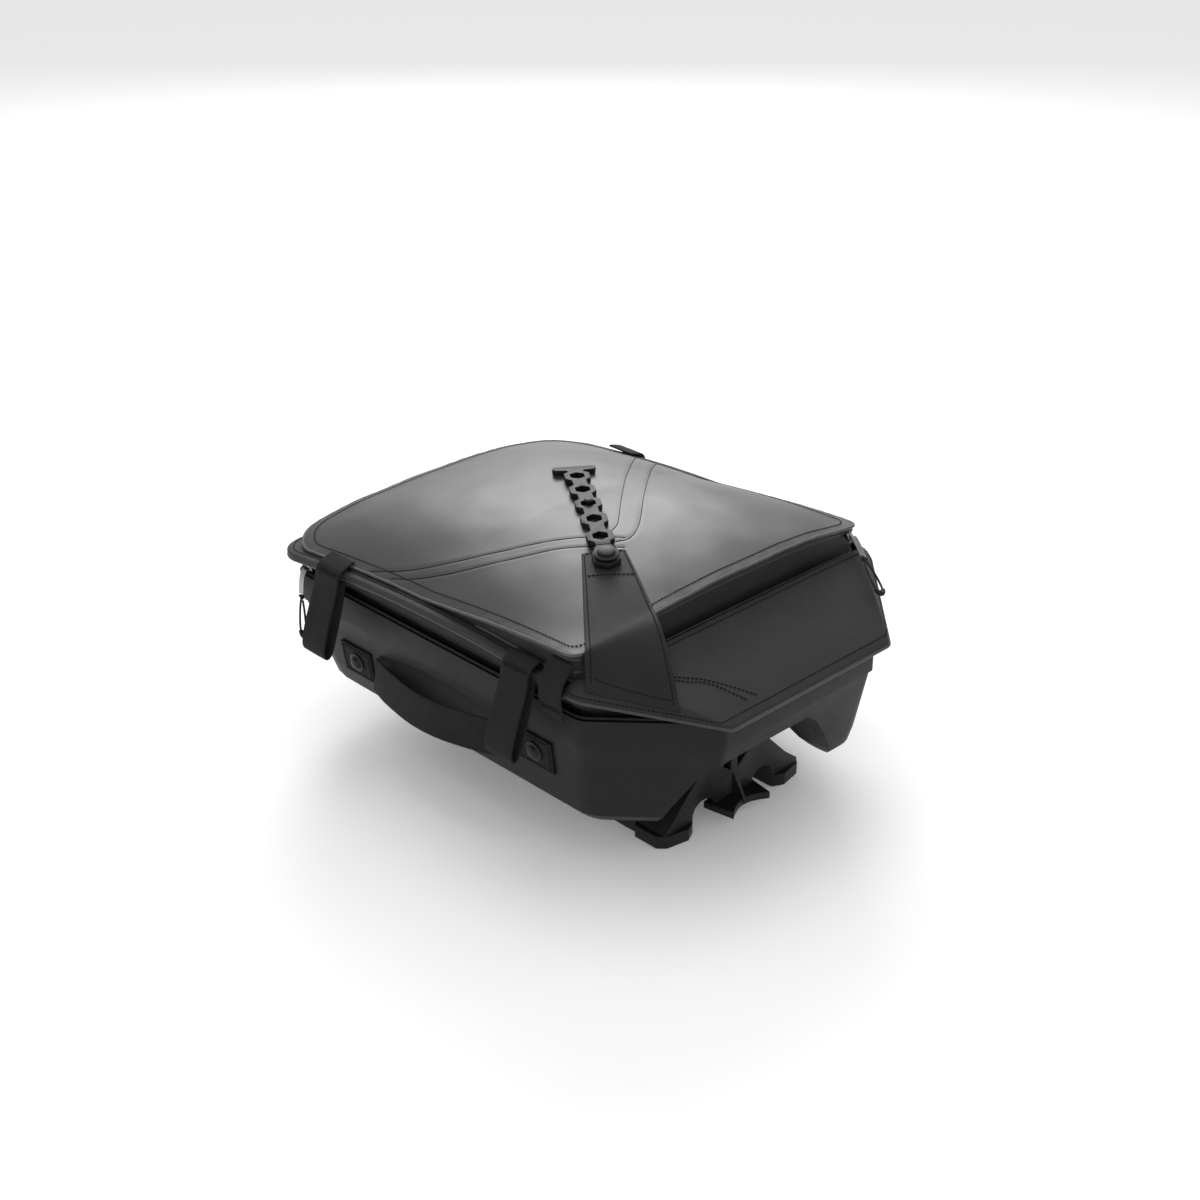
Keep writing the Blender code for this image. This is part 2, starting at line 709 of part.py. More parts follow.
def build_handle_ends():
    """Each end of the handle: a webbing patch flat on the tub and a domed rivet through it."""
    slope = Vector((side_skin(-2 * MM) - side_skin(-60 * MM), 0, -58 * MM)).normalized()
    out = Vector((slope.z, 0, -slope.x))
    for where, (y, z) in zip(("rear", "front"), HANDLE_RIVETS):
        skin = Vector((-side_skin(z), y, z))
        middle = skin + out * (GAP + WEBBING_THICK / 2)
        ends = [middle + Vector((0, way * PATCH_HALF, 0)) for way in (-1, 1)]
        ribbon(f"handle_patch_{where}", ends, slope, WEBBING, WEBBING_THICK, "webbing")
        seat = skin + out * (2 * GAP + WEBBING_THICK)
        dome = [(RIVET_RADIUS, 0), (RIVET_RADIUS, 1.4 * MM), (8 * MM, 1.8 * MM), (7.4 * MM, 3.4 * MM)]
        dome += [(5.4 * MM, 5 * MM), (2.4 * MM, 5.8 * MM)]
        turned(f"handle_rivet_{where}", dome, seat, out, "hard_plastic")


# Corner strap: its own plan directions, along the strap and across it
STRAP_WAY = (Vector(STRAP_BUTTON) - Vector(STRAP_ROOT)).normalized()
STRAP_ACROSS = Vector((STRAP_WAY.y, -STRAP_WAY.x))
EDGE_START = Vector((-TUB_HALF - FLAP_REACH, CHAMFER_Y))
EDGE_END = Vector((-CHAMFER_X - 6 * MM, TUB_FRONT - FLAP_REACH))
EDGE_WAY = (EDGE_END - EDGE_START).normalized()


def strap_place(along, across=0.0):
    return Vector(STRAP_ROOT) + STRAP_WAY * along + STRAP_ACROSS * across


def strap_height(x, y):
    """Upper side of the corner strap: from the flap's edge up over the lid's corner, then along the lid."""
    inward = Vector((-EDGE_WAY.y, EDGE_WAY.x))
    behind = max(0.0, (Vector((x, y)) - EDGE_START).dot(inward) / STRAP_WAY.dot(inward))
    ahead = max(0.0, (LID_FRONT - y) / STRAP_WAY.y, (-LID_HALF - x) / STRAP_WAY.x)
    lid_x, lid_y = Vector((x, y)) + STRAP_WAY * ahead
    low = flap_height(y) + STRAP_ROOT_LIFT
    high = lid_height(lid_x, lid_y) + STRAP_LIFT
    share = behind / (behind + ahead) if ahead else 1.0
    return low + (high - low) * math.sin(share * math.pi / 2)


def build_corner_strap():
    root, end = Vector(STRAP_ROOT), strap_place(STRAP_LENGTH)
    outline = [
        root - EDGE_WAY * STRAP_ROOT_WIDTH / 2 + STRAP_WAY * 3 * MM,
        root + EDGE_WAY * STRAP_ROOT_WIDTH / 2 + STRAP_WAY * 3 * MM,
        end + STRAP_ACROSS * STRAP_TOP_WIDTH / 2,
        end - STRAP_ACROSS * STRAP_TOP_WIDTH / 2,
    ]
    strap = sheet("corner_strap", outline, strap_height, WEBBING_THICK, "coated_fabric", 20 * MM)
    x, y = STRAP_BUTTON
    top = strap_height(x, y)
    hole = turned("button_hole", [(5 * MM, -20 * MM), (5 * MM, 30 * MM)], (x, y, top), (0, 0, 1), None, 16)
    cut(strap, cutter(hole))
    step = 4 * MM
    fall = [top - strap_height(x + step, y), top - strap_height(x, y + step)]
    lean = Vector((*fall, step)).normalized()
    washer = Vector((x, y, top)) + lean * (5 * GAP + RUBBER_THICK)
    profile = [(4.2, -RUBBER_THICK / MM - 1.6), (4.2, 0), (12.5, 0), (12.5, 2), (9, 2.6)]
    profile += [(9, 5.4), (6, 6.2)]
    turned("strap_button", [(r * MM, h * MM) for r, h in profile], washer, lean, "hard_plastic")


def hexagon(centre, radius, stretch=1.0):
    """Corners of a link or its hole, points along the strap."""
    return [
        centre
        + STRAP_WAY * radius * stretch * math.cos(math.pi * k / 3)
        + STRAP_ACROSS * radius * math.sin(math.pi * k / 3)
        for k in range(6)
    ]


def rubber_top(x, y):
    """Upper side of the rubber strap: on the corner strap's end, then down onto the lid."""
    along = (Vector((x, y)) - Vector(STRAP_ROOT)).dot(STRAP_WAY)
    drop = soft((along - STRAP_LENGTH) / LINK_PITCH) * (STRAP_LIFT + GAP - RUBBER_LIFT)
    return lid_height(x, y) + STRAP_LIFT + GAP + RUBBER_THICK - drop


def build_rubber_strap():
    """Rubber strap of hexagonal links with a T-handle; its first link is fixed under the button."""
    button = (Vector(STRAP_BUTTON) - Vector(STRAP_ROOT)).length
    split = button + RUBBER_HINGE
    half, neck = RUBBER_WIDTH / 2, RUBBER_NECK / 2
    point = half / math.sin(math.pi / 3)
    end_link = hexagon(strap_place(button), point)
    end_link[0:1] = [strap_place(split, -neck), strap_place(split, neck)]
    end_link = [end_link[1], *end_link[2:], end_link[0]]
    first = sheet("rubber_end_link", end_link, rubber_top, RUBBER_THICK, "rubber")
    cut(first, bpy.data.objects["button_hole"])

    links = [button + LINK_PITCH * k for k in range(1, LINK_COUNT + 1)]
    side = [(split + GAP, neck)]
    for centre in links:
        side += [(centre - point * 0.86, neck), (centre - point * 0.5, half), (centre + point * 0.5, half)]
        side += [(centre + point * 0.86, neck)]
    tee = links[-1] + TEE_OFFSET
    side += [(tee - TEE_DEPTH / 2, neck + 2 * MM), (tee - TEE_DEPTH / 2 + 2 * MM, TEE_WIDTH / 2 - 3 * MM)]
    side += [(tee - 1 * MM, TEE_WIDTH / 2), (tee + TEE_DEPTH / 2 - 3 * MM, TEE_WIDTH / 2)]
    side += [(tee + TEE_DEPTH / 2, TEE_WIDTH / 2 - 3 * MM)]
    outline = [strap_place(s, w) for s, w in side] + [strap_place(s, -w) for s, w in reversed(side)]
    strap = sheet("rubber_strap", outline, rubber_top, RUBBER_THICK, "rubber", 42 * MM)
    for k, centre in enumerate(links):
        middle = strap_place(centre)
        ring = hexagon(middle, LINK_HOLE, 1.15)
        surface = lid_height(*middle)
        hole = prism(f"link_hole_{k + 1}", ring, surface - 30 * MM, surface + 40 * MM, None)
        cut(strap, cutter(hole))


# ---------------------------------------------------------------- zip pulls


def build_pull(name, slider_place, out, down, lean):
    """A slider with its metal tab, a knotted cord loop and the loop's moulded grip.

    `out` points away from the bag, `down` is the way the pull hangs and `lean` the plane of the tab.
    """
    out, down = Vector(out).normalized(), Vector(down).normalized()
    across = out.cross(down).normalized()
    start = Vector(slider_place)
    frame = Matrix((across, down, across.cross(down))).transposed().to_4x4()
    frame.translation = start
    body = [(-4.5, -4), (-3, -6), (3, -6), (4.5, -4), (4.5, 3), (2.5, 4.5), (-2.5, 4.5), (-4.5, 3)]
    facing = frame.to_3x3() @ Vector((0, 0, 1))
    low, high = (0.0, SLIDER_DEPTH) if facing.dot(out) > 0 else (-SLIDER_DEPTH, 0.0)
    prism(f"{name}_slider", [(u * MM, v * MM) for u, v in body], low, high, "zip_metal", frame)
    route = [start + out * a * MM + down * b * MM for a, b in lean]
    tab = curve_through(route, 3)
    ribbon(f"{name}_tab", tab, across, 8 * MM, 1.6 * MM, "zip_metal")
    end = tab[-1]
    hang = (tab[-1] - tab[-2]).normalized()
    hang = (hang + down * 1.5).normalized()
    knot = end + hang * (KNOT_RADIUS + GAP)
    turned(f"{name}_knot", knot_profile(), knot, hang, "cord", 12)
    top = knot + hang * (KNOT_RADIUS + GAP)
    legs = []
    for t, side in LOOP_SHAPE:
        legs.append(top + hang * t * LOOP_LENGTH + across * side * LOOP_HALF)
    cord = curve_through(legs, 4)
    tube(f"{name}_cord", cord, CORD_RADIUS, "cord", 8)
    grip_path = cord[GRIP_SPAN[0] : GRIP_SPAN[1]]
    tube(f"{name}_grip", grip_path, GRIP_RADIUS, "rubber", 10, bore=CORD_RADIUS + GAP)


def knot_profile():
    return [
        (max(0.3 * MM, KNOT_RADIUS * math.sin(math.pi * k / 6)), -KNOT_RADIUS * math.cos(math.pi * k / 6))
        for k in range(7)
    ]


def build_pulls():
    x = -TUB_HALF + BAND_INSET - GAP
    lean = [(6.4, -3.5), (9.4, -3.5), (13, 1), (15.5, 10), (17, 24)]
    build_pull("main_zip", (x, MAIN_SLIDER_Y, ZIP_HEIGHT), (-1, 0, 0), (0, 0, -1), lean)
    x, y = UPPER_SLIDER
    z = (wall_high(LID_FRONT) + chain_high(LID_FRONT)) / 2 - 2 * MM
    lean = [(6.4, -3), (8.6, -2), (9.4, 3), (9, 12), (8, 26)]
    build_pull("pocket_zip", (x, y, z), (-0.1, -0.85, 0.5), (-0.4, -0.83, -0.38), lean)


# ---------------------------------------------------------------- hook plate


def seat(height):
    """A height over the seat, as a height from the crease."""
    return height - CREASE


def box(name, low, high, slot=None):
    outline = [(low[0], low[1]), (high[0], low[1]), (high[0], high[1]), (low[0], high[1])]
    return prism(name, outline, low[2], high[2], slot)


def saddle_outline():
    """Cross-section of the plate: a saddle that fills the channel's roof, on a rail at each side."""
    inner = PLATE_RAIL_INNER
    count = 12
    under = [inner - 2 * inner * k / count for k in range(count + 1)]
    lower = [(inner, seat(0)), *((x, plate_under(x)) for x in under), (-inner, seat(0))]
    return [(-PLATE_HALF, seat(0)), *plate_roof(), (PLATE_HALF, seat(0)), *lower]


def plate_top(x):
    """The plate's upper side: flat against the channel's roof, then straight down to each foot."""
    share = max(0.0, (abs(x) - PLATE_SHOULDER) / (PLATE_HALF - PLATE_SHOULDER))
    crown = channel_height(PLATE_SHOULDER) - 3 * GAP
    return crown + (seat(PLATE_FOOT) - crown) * share


def plate_roof():
    """The plate's upper side as outline points, from left to right."""
    return [(x, plate_top(x)) for x in CHANNEL_STATIONS if abs(x) < PLATE_HALF + GAP]


def plate_under(x):
    """The plate's lower side between its rails."""
    return min(plate_top(x) - 1.5 * PLATE_WALL, seat(PLATE_CROWN))


def hook_front_outline():
    """The plate's front wall: middle web between two arched notches, and the outer prongs."""
    arch = 5
    notch_centre = (MIDDLE_HALF + PLATE_RAIL_INNER) / 2
    notch_half = (PLATE_RAIL_INNER - MIDDLE_HALF) / 2
    spring = seat(NOTCH_TOP) - notch_half * 0.8
    right = [(MIDDLE_HALF, seat(MIDDLE_BASE))]
    for k in range(arch + 1):
        angle = math.pi * (1 - k / arch)
        arch_x = notch_centre + notch_half * math.cos(angle)
        right.append((arch_x, spring + notch_half * 0.8 * math.sin(angle)))
    right += [(PLATE_RAIL_INNER, seat(0)), (PLATE_HALF, seat(0))]
    left = [(-x, z) for x, z in reversed(right)]
    return right + plate_roof()[::-1] + left


def build_plate():
    plate = prism("hook_plate", saddle_outline(), PLATE_FRONT, PLATE_BACK, "hard_plastic", ACROSS_XZ)
    for piece in plate_additions():
        cut(plate, cutter(piece), "UNION")
    for side in (-1, 1):
        corners = ((5 * MM, seat(50 * MM)), (5 * MM, seat(70 * MM)), (30 * MM, seat(70 * MM)))
        outline = [(side * u, v) for u, v in corners]
        low, high = PLATE_FRONT - 20 * MM, PLATE_FRONT + 12 * MM
        cut(plate, cutter(prism(f"plate_window_{side}", outline, low, high, None, ACROSS_XZ)))
        cut(plate, drilled(f"latch_bore_{side}", LATCH_PIN, (side * LATCH_X, LATCH_Y, seat(30 * MM))))
    for number, (x, y) in enumerate(SCREWS, 1):
        hole = drilled(f"screw_hole_{number}", SCREW_RADIUS, (x, y, channel_height(x)))
        cut(plate, hole)
        cut(bpy.data.objects["base_tub"], hole)


def drilled(name, radius, middle):
    """The clearance hole for a pin or a screw, upright through `middle`."""
    profile = [(radius + GAP, -30 * MM), (radius + GAP, 30 * MM)]
    return cutter(turned(name, profile, middle, (0, 0, 1), None, 14))


def plate_additions():
    """The pieces that are joined to the saddle: front wall, shelf and rib, seat bar, ear and prong tips."""
    low, high = PLATE_FRONT - 6 * MM, PLATE_FRONT + 5 * MM
    pieces = [prism("plate_front", hook_front_outline(), low, high, None, ACROSS_XZ)]
    reach, tip = PLATE_FRONT - MIDDLE_REACH, MIDDLE_HALF
    scallop = [(-tip + 2 * tip * k / 6, reach + 11 * MM * math.sin(math.pi * k / 6)) for k in range(7)]
    shelf = [(-tip - 6 * MM, PLATE_FRONT + 4 * MM), *scallop, (tip + 6 * MM, PLATE_FRONT + 4 * MM)]
    pieces.append(prism("plate_middle", shelf, seat(MIDDLE_BASE), seat(MIDDLE_BASE + MIDDLE_THICK), None))
    rib = [(PLATE_FRONT + 2 * MM, seat(15 * MM)), (PLATE_FRONT - 24 * MM, seat(17 * MM))]
    rib.append((PLATE_FRONT + 2 * MM, seat(62 * MM)))
    pieces.append(prism("plate_rib", rib, -2 * MM, 2 * MM, None, ALONG_YZ))
    bar = PLATE_RAIL_INNER + 4 * MM
    pieces.append(box("plate_bar", (-bar, -SEAT_BAR_HALF, seat(0)), (bar, SEAT_BAR_HALF, seat(9 * MM))))
    ear, ear_low = PLATE_HALF - 1 * MM, seat(LATCH_LEVEL + LATCH_THICK + 1 * MM)
    ear_corner = (ear, LATCH_Y + 16 * MM, ear_low + 6 * MM)
    pieces.append(box("plate_ear", (-ear, PLATE_BACK - 12 * MM, ear_low), ear_corner))
    for side in (-1, 1):
        outline = [(side * u, v) for u, v in PRONG_TIP]
        pieces.append(prism(f"prong_tip_{side}", outline, seat(0), seat(14 * MM), None))
    return pieces


def build_screws():
    """Screws that hold the plate up to the tub, each with its nut inside the tub."""
    for number, (x, y) in enumerate(SCREWS, 1):
        under = plate_under(abs(x) + SCREW_HEAD) - GAP
        over = channel_height(x, TUB_WALL) + 1.4 * MM
        shank = over - under
        head = [(SCREW_HEAD, -4 * MM), (SCREW_HEAD, 0), (SCREW_RADIUS, 0), (SCREW_RADIUS, shank)]
        turned(f"plate_screw_{number}", head, (x, y, under), (0, 0, 1), "steel", 12)
        nut = [(7 * MM, 0), (7 * MM, 5 * MM)]
        turned(f"plate_nut_{number}", nut, (x, y, under + shank + GAP), (0, 0, 1), "steel", 6)


def build_latches():
    """Two swing levers at the plate's back, each on its own pin."""
    low, high = seat(LATCH_LEVEL), seat(LATCH_LEVEL + LATCH_THICK)
    for side, word in ((-1, "left"), (1, "right")):
        boss, tip = 12 * MM, 7 * MM
        arcs = []
        for centre, radius, facing in ((0, boss, 0), (-LATCH_ARM, tip, math.pi)):
            for k in range(7):
                angle = facing + math.pi * (k / 6 - 0.5)
                across = LATCH_X + centre + radius * math.cos(angle)
                arcs.append((side * across, LATCH_Y + radius * math.sin(angle)))
        lever = prism(f"latch_lever_{word}", arcs, low, high, "hard_plastic")
        cut(lever, drilled(f"lever_bore_{word}", LATCH_PIN, (side * LATCH_X, LATCH_Y, low)))
        ear_top = high + 7 * MM
        pin = [(8 * MM, low - 3.4 * MM), (8 * MM, low - GAP), (LATCH_PIN, low - GAP)]
        pin += [(LATCH_PIN, ear_top + GAP), (7 * MM, ear_top + GAP), (7 * MM, ear_top + 3 * MM)]
        turned(f"latch_pin_{word}", pin, (side * LATCH_X, LATCH_Y, 0), (0, 0, 1), "steel", 14)


# ---------------------------------------------------------------- assembly


def main():
    for obj in list(bpy.data.objects):
        bpy.data.objects.remove(obj, do_unlink=True)
    build_tub()
    build_band()
    build_flap_and_panel()
    build_lid()
    build_lid_post()
    for side, word in ((-1, "left"), (1, "right")):
        for where, y in zip(("rear", "front"), KEEPER_ROWS):
            build_keeper(f"keeper_{word}_{where}", side, y)
    build_corner_tab()
    build_handle()
    build_handle_ends()
    build_corner_strap()
    build_rubber_strap()
    build_pulls()
    build_plate()
    build_screws()
    build_latches()


main()
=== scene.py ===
"""Looks of the cargo bag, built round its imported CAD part. Metres, +Z up, in the part's own frame."""

import math

import bmesh
import bpy
import numpy as np
from mathutils import Matrix, Vector, noise


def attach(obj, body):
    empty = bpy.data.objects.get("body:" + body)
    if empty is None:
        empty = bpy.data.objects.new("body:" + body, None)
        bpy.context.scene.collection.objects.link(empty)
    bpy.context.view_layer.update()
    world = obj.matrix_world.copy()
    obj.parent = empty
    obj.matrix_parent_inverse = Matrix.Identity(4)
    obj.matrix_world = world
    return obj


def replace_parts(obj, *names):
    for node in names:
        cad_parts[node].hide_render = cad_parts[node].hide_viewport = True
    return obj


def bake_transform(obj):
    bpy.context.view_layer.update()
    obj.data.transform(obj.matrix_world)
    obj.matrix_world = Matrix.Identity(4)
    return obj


MM = 0.001
LID_HALF, LID_FRONT, LID_BACK = 0.206, -0.138, 0.314
LID_CORNERS = [(-LID_HALF, LID_FRONT), (LID_HALF, LID_FRONT), (LID_HALF, LID_BACK), (-LID_HALF, LID_BACK)]
LID_PEAK, LID_FRONT_ROUND, LID_BACK_ROUND = 0.080, 14 * MM, 48 * MM
POCKET_END = 8 * MM
FLAP_FRONT, FLAP_PEAK, FLAP_BACK, PANEL_EDGE = -0.140, 0.030, 0.324, -0.254
FRONT_LEVEL, PEAK_LEVEL, BACK_LEVEL, EDGE_LEVEL, PANEL_TOP_LEVEL = 0.065, 0.077, 0.056, 0.036, 0.079
STRAP_ROOT, STRAP_BUTTON, STRAP_LENGTH = Vector((-0.180, -0.187)), Vector((-0.084, -0.054)), 0.184
STRAP_WAY = (STRAP_BUTTON - STRAP_ROOT).normalized()
STRAP_ACROSS = Vector((STRAP_WAY.y, -STRAP_WAY.x))
EDGE_START, EDGE_END = Vector((-0.219, -0.140)), Vector((-0.117, -0.254))
EDGE_WAY = (EDGE_END - EDGE_START).normalized()
CREASE = 0.155
WEBBING, TAB_WIDTH, WEBBING_THICK = 0.038, 0.030, 2.4 * MM

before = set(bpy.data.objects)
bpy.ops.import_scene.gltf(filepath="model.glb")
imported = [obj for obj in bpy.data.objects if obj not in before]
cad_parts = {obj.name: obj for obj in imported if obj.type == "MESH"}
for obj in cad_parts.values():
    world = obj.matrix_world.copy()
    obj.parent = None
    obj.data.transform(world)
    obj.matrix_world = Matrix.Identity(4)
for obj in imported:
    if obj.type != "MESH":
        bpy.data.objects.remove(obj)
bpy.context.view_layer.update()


# ---------------------------------------------------------------- materials


def node(tree, kind, inputs=None, **settings):
    made = tree.nodes.new(kind)
    for key, value in settings.items():
        setattr(made, key, value)
    for key, value in (inputs or {}).items():
        made.inputs[key].default_value = value
    return made


def sum_of(tree, first, second):
    added = node(tree, "ShaderNodeMath", operation="ADD")
    tree.links.new(first, added.inputs[0])
    tree.links.new(second, added.inputs[1])
    return added.outputs[0]


def waves(tree, coordinates, direction, scale):
    wave = node(tree, "ShaderNodeTexWave", {"Scale": scale}, bands_direction=direction)
    wave.wave_profile = "SIN"
    tree.links.new(coordinates, wave.inputs["Vector"])
    return wave.outputs["Fac"]


def noisy(tree, coordinates, scale, detail=3.0):
    made = node(tree, "ShaderNodeTexNoise", {"Scale": scale, "Detail": detail, "Roughness": 0.6})
    tree.links.new(coordinates, made.inputs["Vector"])
    return made.outputs["Fac"]


def surface(name, dark, light, rough, metal=0.0, weave=0.0, grain=600.0, depth=0.3, rows="UV", mottle=30.0,
            wear=0.06, specular=0.5):
    """A material: mottled colour, worn gloss, and a bump of weave or grain."""
    made = bpy.data.materials.new(name)
    made.use_nodes = True
    tree = made.node_tree
    shader = tree.nodes["Principled BSDF"]
    places = node(tree, "ShaderNodeTexCoord").outputs[rows]
    solid = node(tree, "ShaderNodeTexCoord").outputs["Object"]
    patches = noisy(tree, solid, mottle, 4.0)
    ramp = node(tree, "ShaderNodeValToRGB")
    ramp.color_ramp.elements[0].position, ramp.color_ramp.elements[1].position = 0.3, 0.7
    ramp.color_ramp.elements[0].color = (*dark, 1)
    ramp.color_ramp.elements[1].color = (*light, 1)
    tree.links.new(patches, ramp.inputs["Fac"])
    tree.links.new(ramp.outputs["Color"], shader.inputs["Base Color"])
    gloss = node(tree, "ShaderNodeMapRange", {"To Min": rough - wear, "To Max": rough + wear})
    tree.links.new(noisy(tree, solid, mottle * 2.3, 5.0), gloss.inputs["Value"])
    tree.links.new(gloss.outputs["Result"], shader.inputs["Roughness"])
    shader.inputs["Metallic"].default_value = metal
    shader.inputs["Specular IOR Level"].default_value = specular
    fine = noisy(tree, solid, grain, 2.0)
    height = fine
    if weave:
        threads = sum_of(tree, waves(tree, places, "X", weave), waves(tree, places, "Y", weave))
        height = sum_of(tree, threads, fine)
    bump = node(tree, "ShaderNodeBump", {"Strength": depth, "Distance": 0.0004})
    tree.links.new(height, bump.inputs["Height"])
    tree.links.new(bump.outputs["Normal"], shader.inputs["Normal"])
    return made


def grey(value, blue=1.0):
    return (value, value, value * blue)


LOOKS = {
    "moulded_shell": surface("moulded_shell_look", grey(0.006), grey(0.009, 1.03), 0.5, grain=900, depth=0.3,
                             specular=0.22),
    "soft_band": surface("soft_band_look", grey(0.008), grey(0.012), 0.7, weave=420, grain=700, depth=0.4,
                         rows="Object", specular=0.3),
    "coated_fabric": surface("coated_fabric_look", grey(0.022), grey(0.028, 1.02), 0.4, weave=480, grain=500,
                             depth=0.12, mottle=14, wear=0.05, specular=0.5),
    "panel_fabric": surface("panel_fabric_look", grey(0.010), grey(0.014, 1.02), 0.58, weave=420, grain=700,
                            depth=0.28, specular=0.33),
    "webbing": surface("webbing_look", grey(0.005), grey(0.008), 0.75, weave=300, grain=600, depth=0.55,
                       specular=0.25),
    "zip_chain": surface("zip_chain_look", grey(0.006), grey(0.010), 0.45, weave=420, grain=700, depth=0.4,
                         rows="Object", specular=0.4),
    "zip_metal": surface("zip_metal_look", grey(0.2), grey(0.34), 0.34, metal=1.0, grain=500, depth=0.1),
    "cord": surface("cord_look", grey(0.006), grey(0.011), 0.7, grain=900, depth=0.8, specular=0.3),
    "rubber": surface("rubber_look", grey(0.005), grey(0.007), 0.5, grain=500, depth=0.2, specular=0.25),
    "hard_plastic": surface("hard_plastic_look", grey(0.007), grey(0.010), 0.46, grain=500, depth=0.16,
                            specular=0.25),
    "steel": surface("steel_look", grey(0.2), grey(0.3), 0.36, metal=1.0, grain=400, depth=0.1),
}
TRIM = surface("binding_look", grey(0.05), grey(0.075), 0.45, weave=420, grain=700, depth=0.4)
STRAP_LOOK = surface("strap_fabric_look", grey(0.010), grey(0.013), 0.58, weave=420, grain=700, depth=0.2,
                     specular=0.22)
THREAD = surface("thread_look", grey(0.002), grey(0.004), 0.7, grain=1500, depth=0.5, specular=0.15)
PALE_THREAD = surface("lid_thread_look", grey(0.004), grey(0.008), 0.7, grain=1500, depth=0.5, specular=0.15)

for name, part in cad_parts.items():
    for slot in part.material_slots:
        key = slot.material.name.split(".")[0]
        slot.material = LOOKS.get(key, LOOKS["moulded_shell"])


# ---------------------------------------------------------------- shapes


def flap_height(y):
    """The storm flap's height over the crease, or the end panel's beyond the flap's front."""
    if y < FLAP_FRONT:
        return FRONT_LEVEL + (EDGE_LEVEL - FRONT_LEVEL) * (y - FLAP_FRONT) / (PANEL_EDGE - FLAP_FRONT)
    end, fall = (FLAP_FRONT, FRONT_LEVEL) if y < FLAP_PEAK else (FLAP_BACK, BACK_LEVEL)
    return PEAK_LEVEL + (fall - PEAK_LEVEL) * ((y - FLAP_PEAK) / (end - FLAP_PEAK)) ** 2


def wedge(y):
    """How far the pocket raises the lid, growing towards its opening."""
    return 0.030 * max(0.0, (LID_PEAK - y) / 0.218) ** 1.2


def lid_height(x, y):
    """The lid's height over the crease, crowned both ways."""
    peak = 0.044
    end, crown = (LID_FRONT, 0.013) if y < LID_PEAK else (LID_BACK, 0.022)
    rise = peak + (crown - peak) * ((y - LID_PEAK) / (end - LID_PEAK)) ** 2
    return flap_height(y) + 0.0028 + wedge(y) + rise * (1 - min(1.0, abs(x / LID_HALF)) ** 2.6)


def strap_place(along, across=0.0):
    return STRAP_ROOT + STRAP_WAY * along + STRAP_ACROSS * across


def strap_height(x, y):
    inward = Vector((-EDGE_WAY.y, EDGE_WAY.x))
    behind = max(0.0, (Vector((x, y)) - EDGE_START).dot(inward) / STRAP_WAY.dot(inward))
    ahead = max(0.0, (LID_FRONT - y) / STRAP_WAY.y, (-LID_HALF - x) / STRAP_WAY.x)
    lid_x, lid_y = Vector((x, y)) + STRAP_WAY * ahead
    low = flap_height(y) + 4.8 * MM
    high = lid_height(lid_x, lid_y) + 3 * MM
    share = behind / (behind + ahead) if ahead else 1.0
    return low + (high - low) * math.sin(share * math.pi / 2)


def curve_through(points, steps=5):
    """A smooth run of points through the given ones."""
    points = [Vector(point) for point in points]
    run = []
    for i in range(len(points) - 1):
        a, b = points[max(i - 1, 0)], points[i]
        c, d = points[i + 1], points[min(i + 2, len(points) - 1)]
        for k in range(steps):
            t = k / steps
            bend = (2 * a - 5 * b + 4 * c - d) * t**2 + (3 * b - a - 3 * c + d) * t**3
            run.append(0.5 * (2 * b + (c - a) * t + bend))
    return run + [points[-1]]


def spaced(path, pitch):
    """Points every `pitch` along a path, each with its direction."""
    found, left = [], pitch / 2
    for a, b in zip(path, path[1:]):
        a, b = Vector(a), Vector(b)
        length = (b - a).length
        if length < 1e-9:
            continue
        way = (b - a) / length
        while left <= length:
            found.append((a + way * left, way))
            left += pitch
        left -= length
    return found


def measured(path):
    """Distance along a path at each of its points."""
    run = [0.0]
    for a, b in zip(path, path[1:]):
        run.append(run[-1] + (Vector(b) - Vector(a)).length)
    return run


def put(name, mesh, slot, look=None):
    made = bpy.data.objects.new(name, mesh)
    bpy.context.scene.collection.objects.link(made)
    if not mesh.materials:
        mesh.materials.append(look or LOOKS[slot])
    mesh.shade_smooth()
    return made


def applied(obj):
    """The object with its modifiers made part of its mesh."""
    graph = bpy.context.evaluated_depsgraph_get()
    mesh = bpy.data.meshes.new_from_object(obj.evaluated_get(graph), depsgraph=graph)
    obj.modifiers.clear()
    obj.data = mesh
    return obj


def add(obj, kind, **settings):
    step = obj.modifiers.new(kind.title(), kind)
    for key, value in settings.items():
        setattr(step, key, value)
    return step


def cloth(name, rows, thick, slot, look=None, closed=False, soften=1.0):
    """A sheet through rows of points, thickened below its face, its edge rounded, with UVs in metres."""
    work = bmesh.new()
    grid = [[work.verts.new(point) for point in row] for row in rows]
    layer = work.loops.layers.uv.new("UVMap")
    down, across = measured([row[len(row) // 2] for row in rows]), [measured(row) for row in rows]
    count = len(grid[0])
    for i in range(len(grid) - 1):
        for j in range(count if closed else count - 1):
            k = (j + 1) % count
            face = work.faces.new((grid[i][j], grid[i + 1][j], grid[i + 1][k], grid[i][k]))
            places = ((i, j), (i + 1, j), (i + 1, k), (i, k))
            for loop, (u, v) in zip(face.loops, places):
                loop[layer].uv = (down[u], across[u][v] if v or not closed else across[u][-1])
    mesh = bpy.data.meshes.new(name)
    work.to_mesh(mesh)
    work.free()
    made = put(name, mesh, slot, look)
    add(made, "SOLIDIFY", thickness=thick, offset=-1)
    width = thick * 0.38 * soften
    add(made, "BEVEL", width=width, segments=2, limit_method="ANGLE", angle_limit=math.radians(50))
    return applied(made)


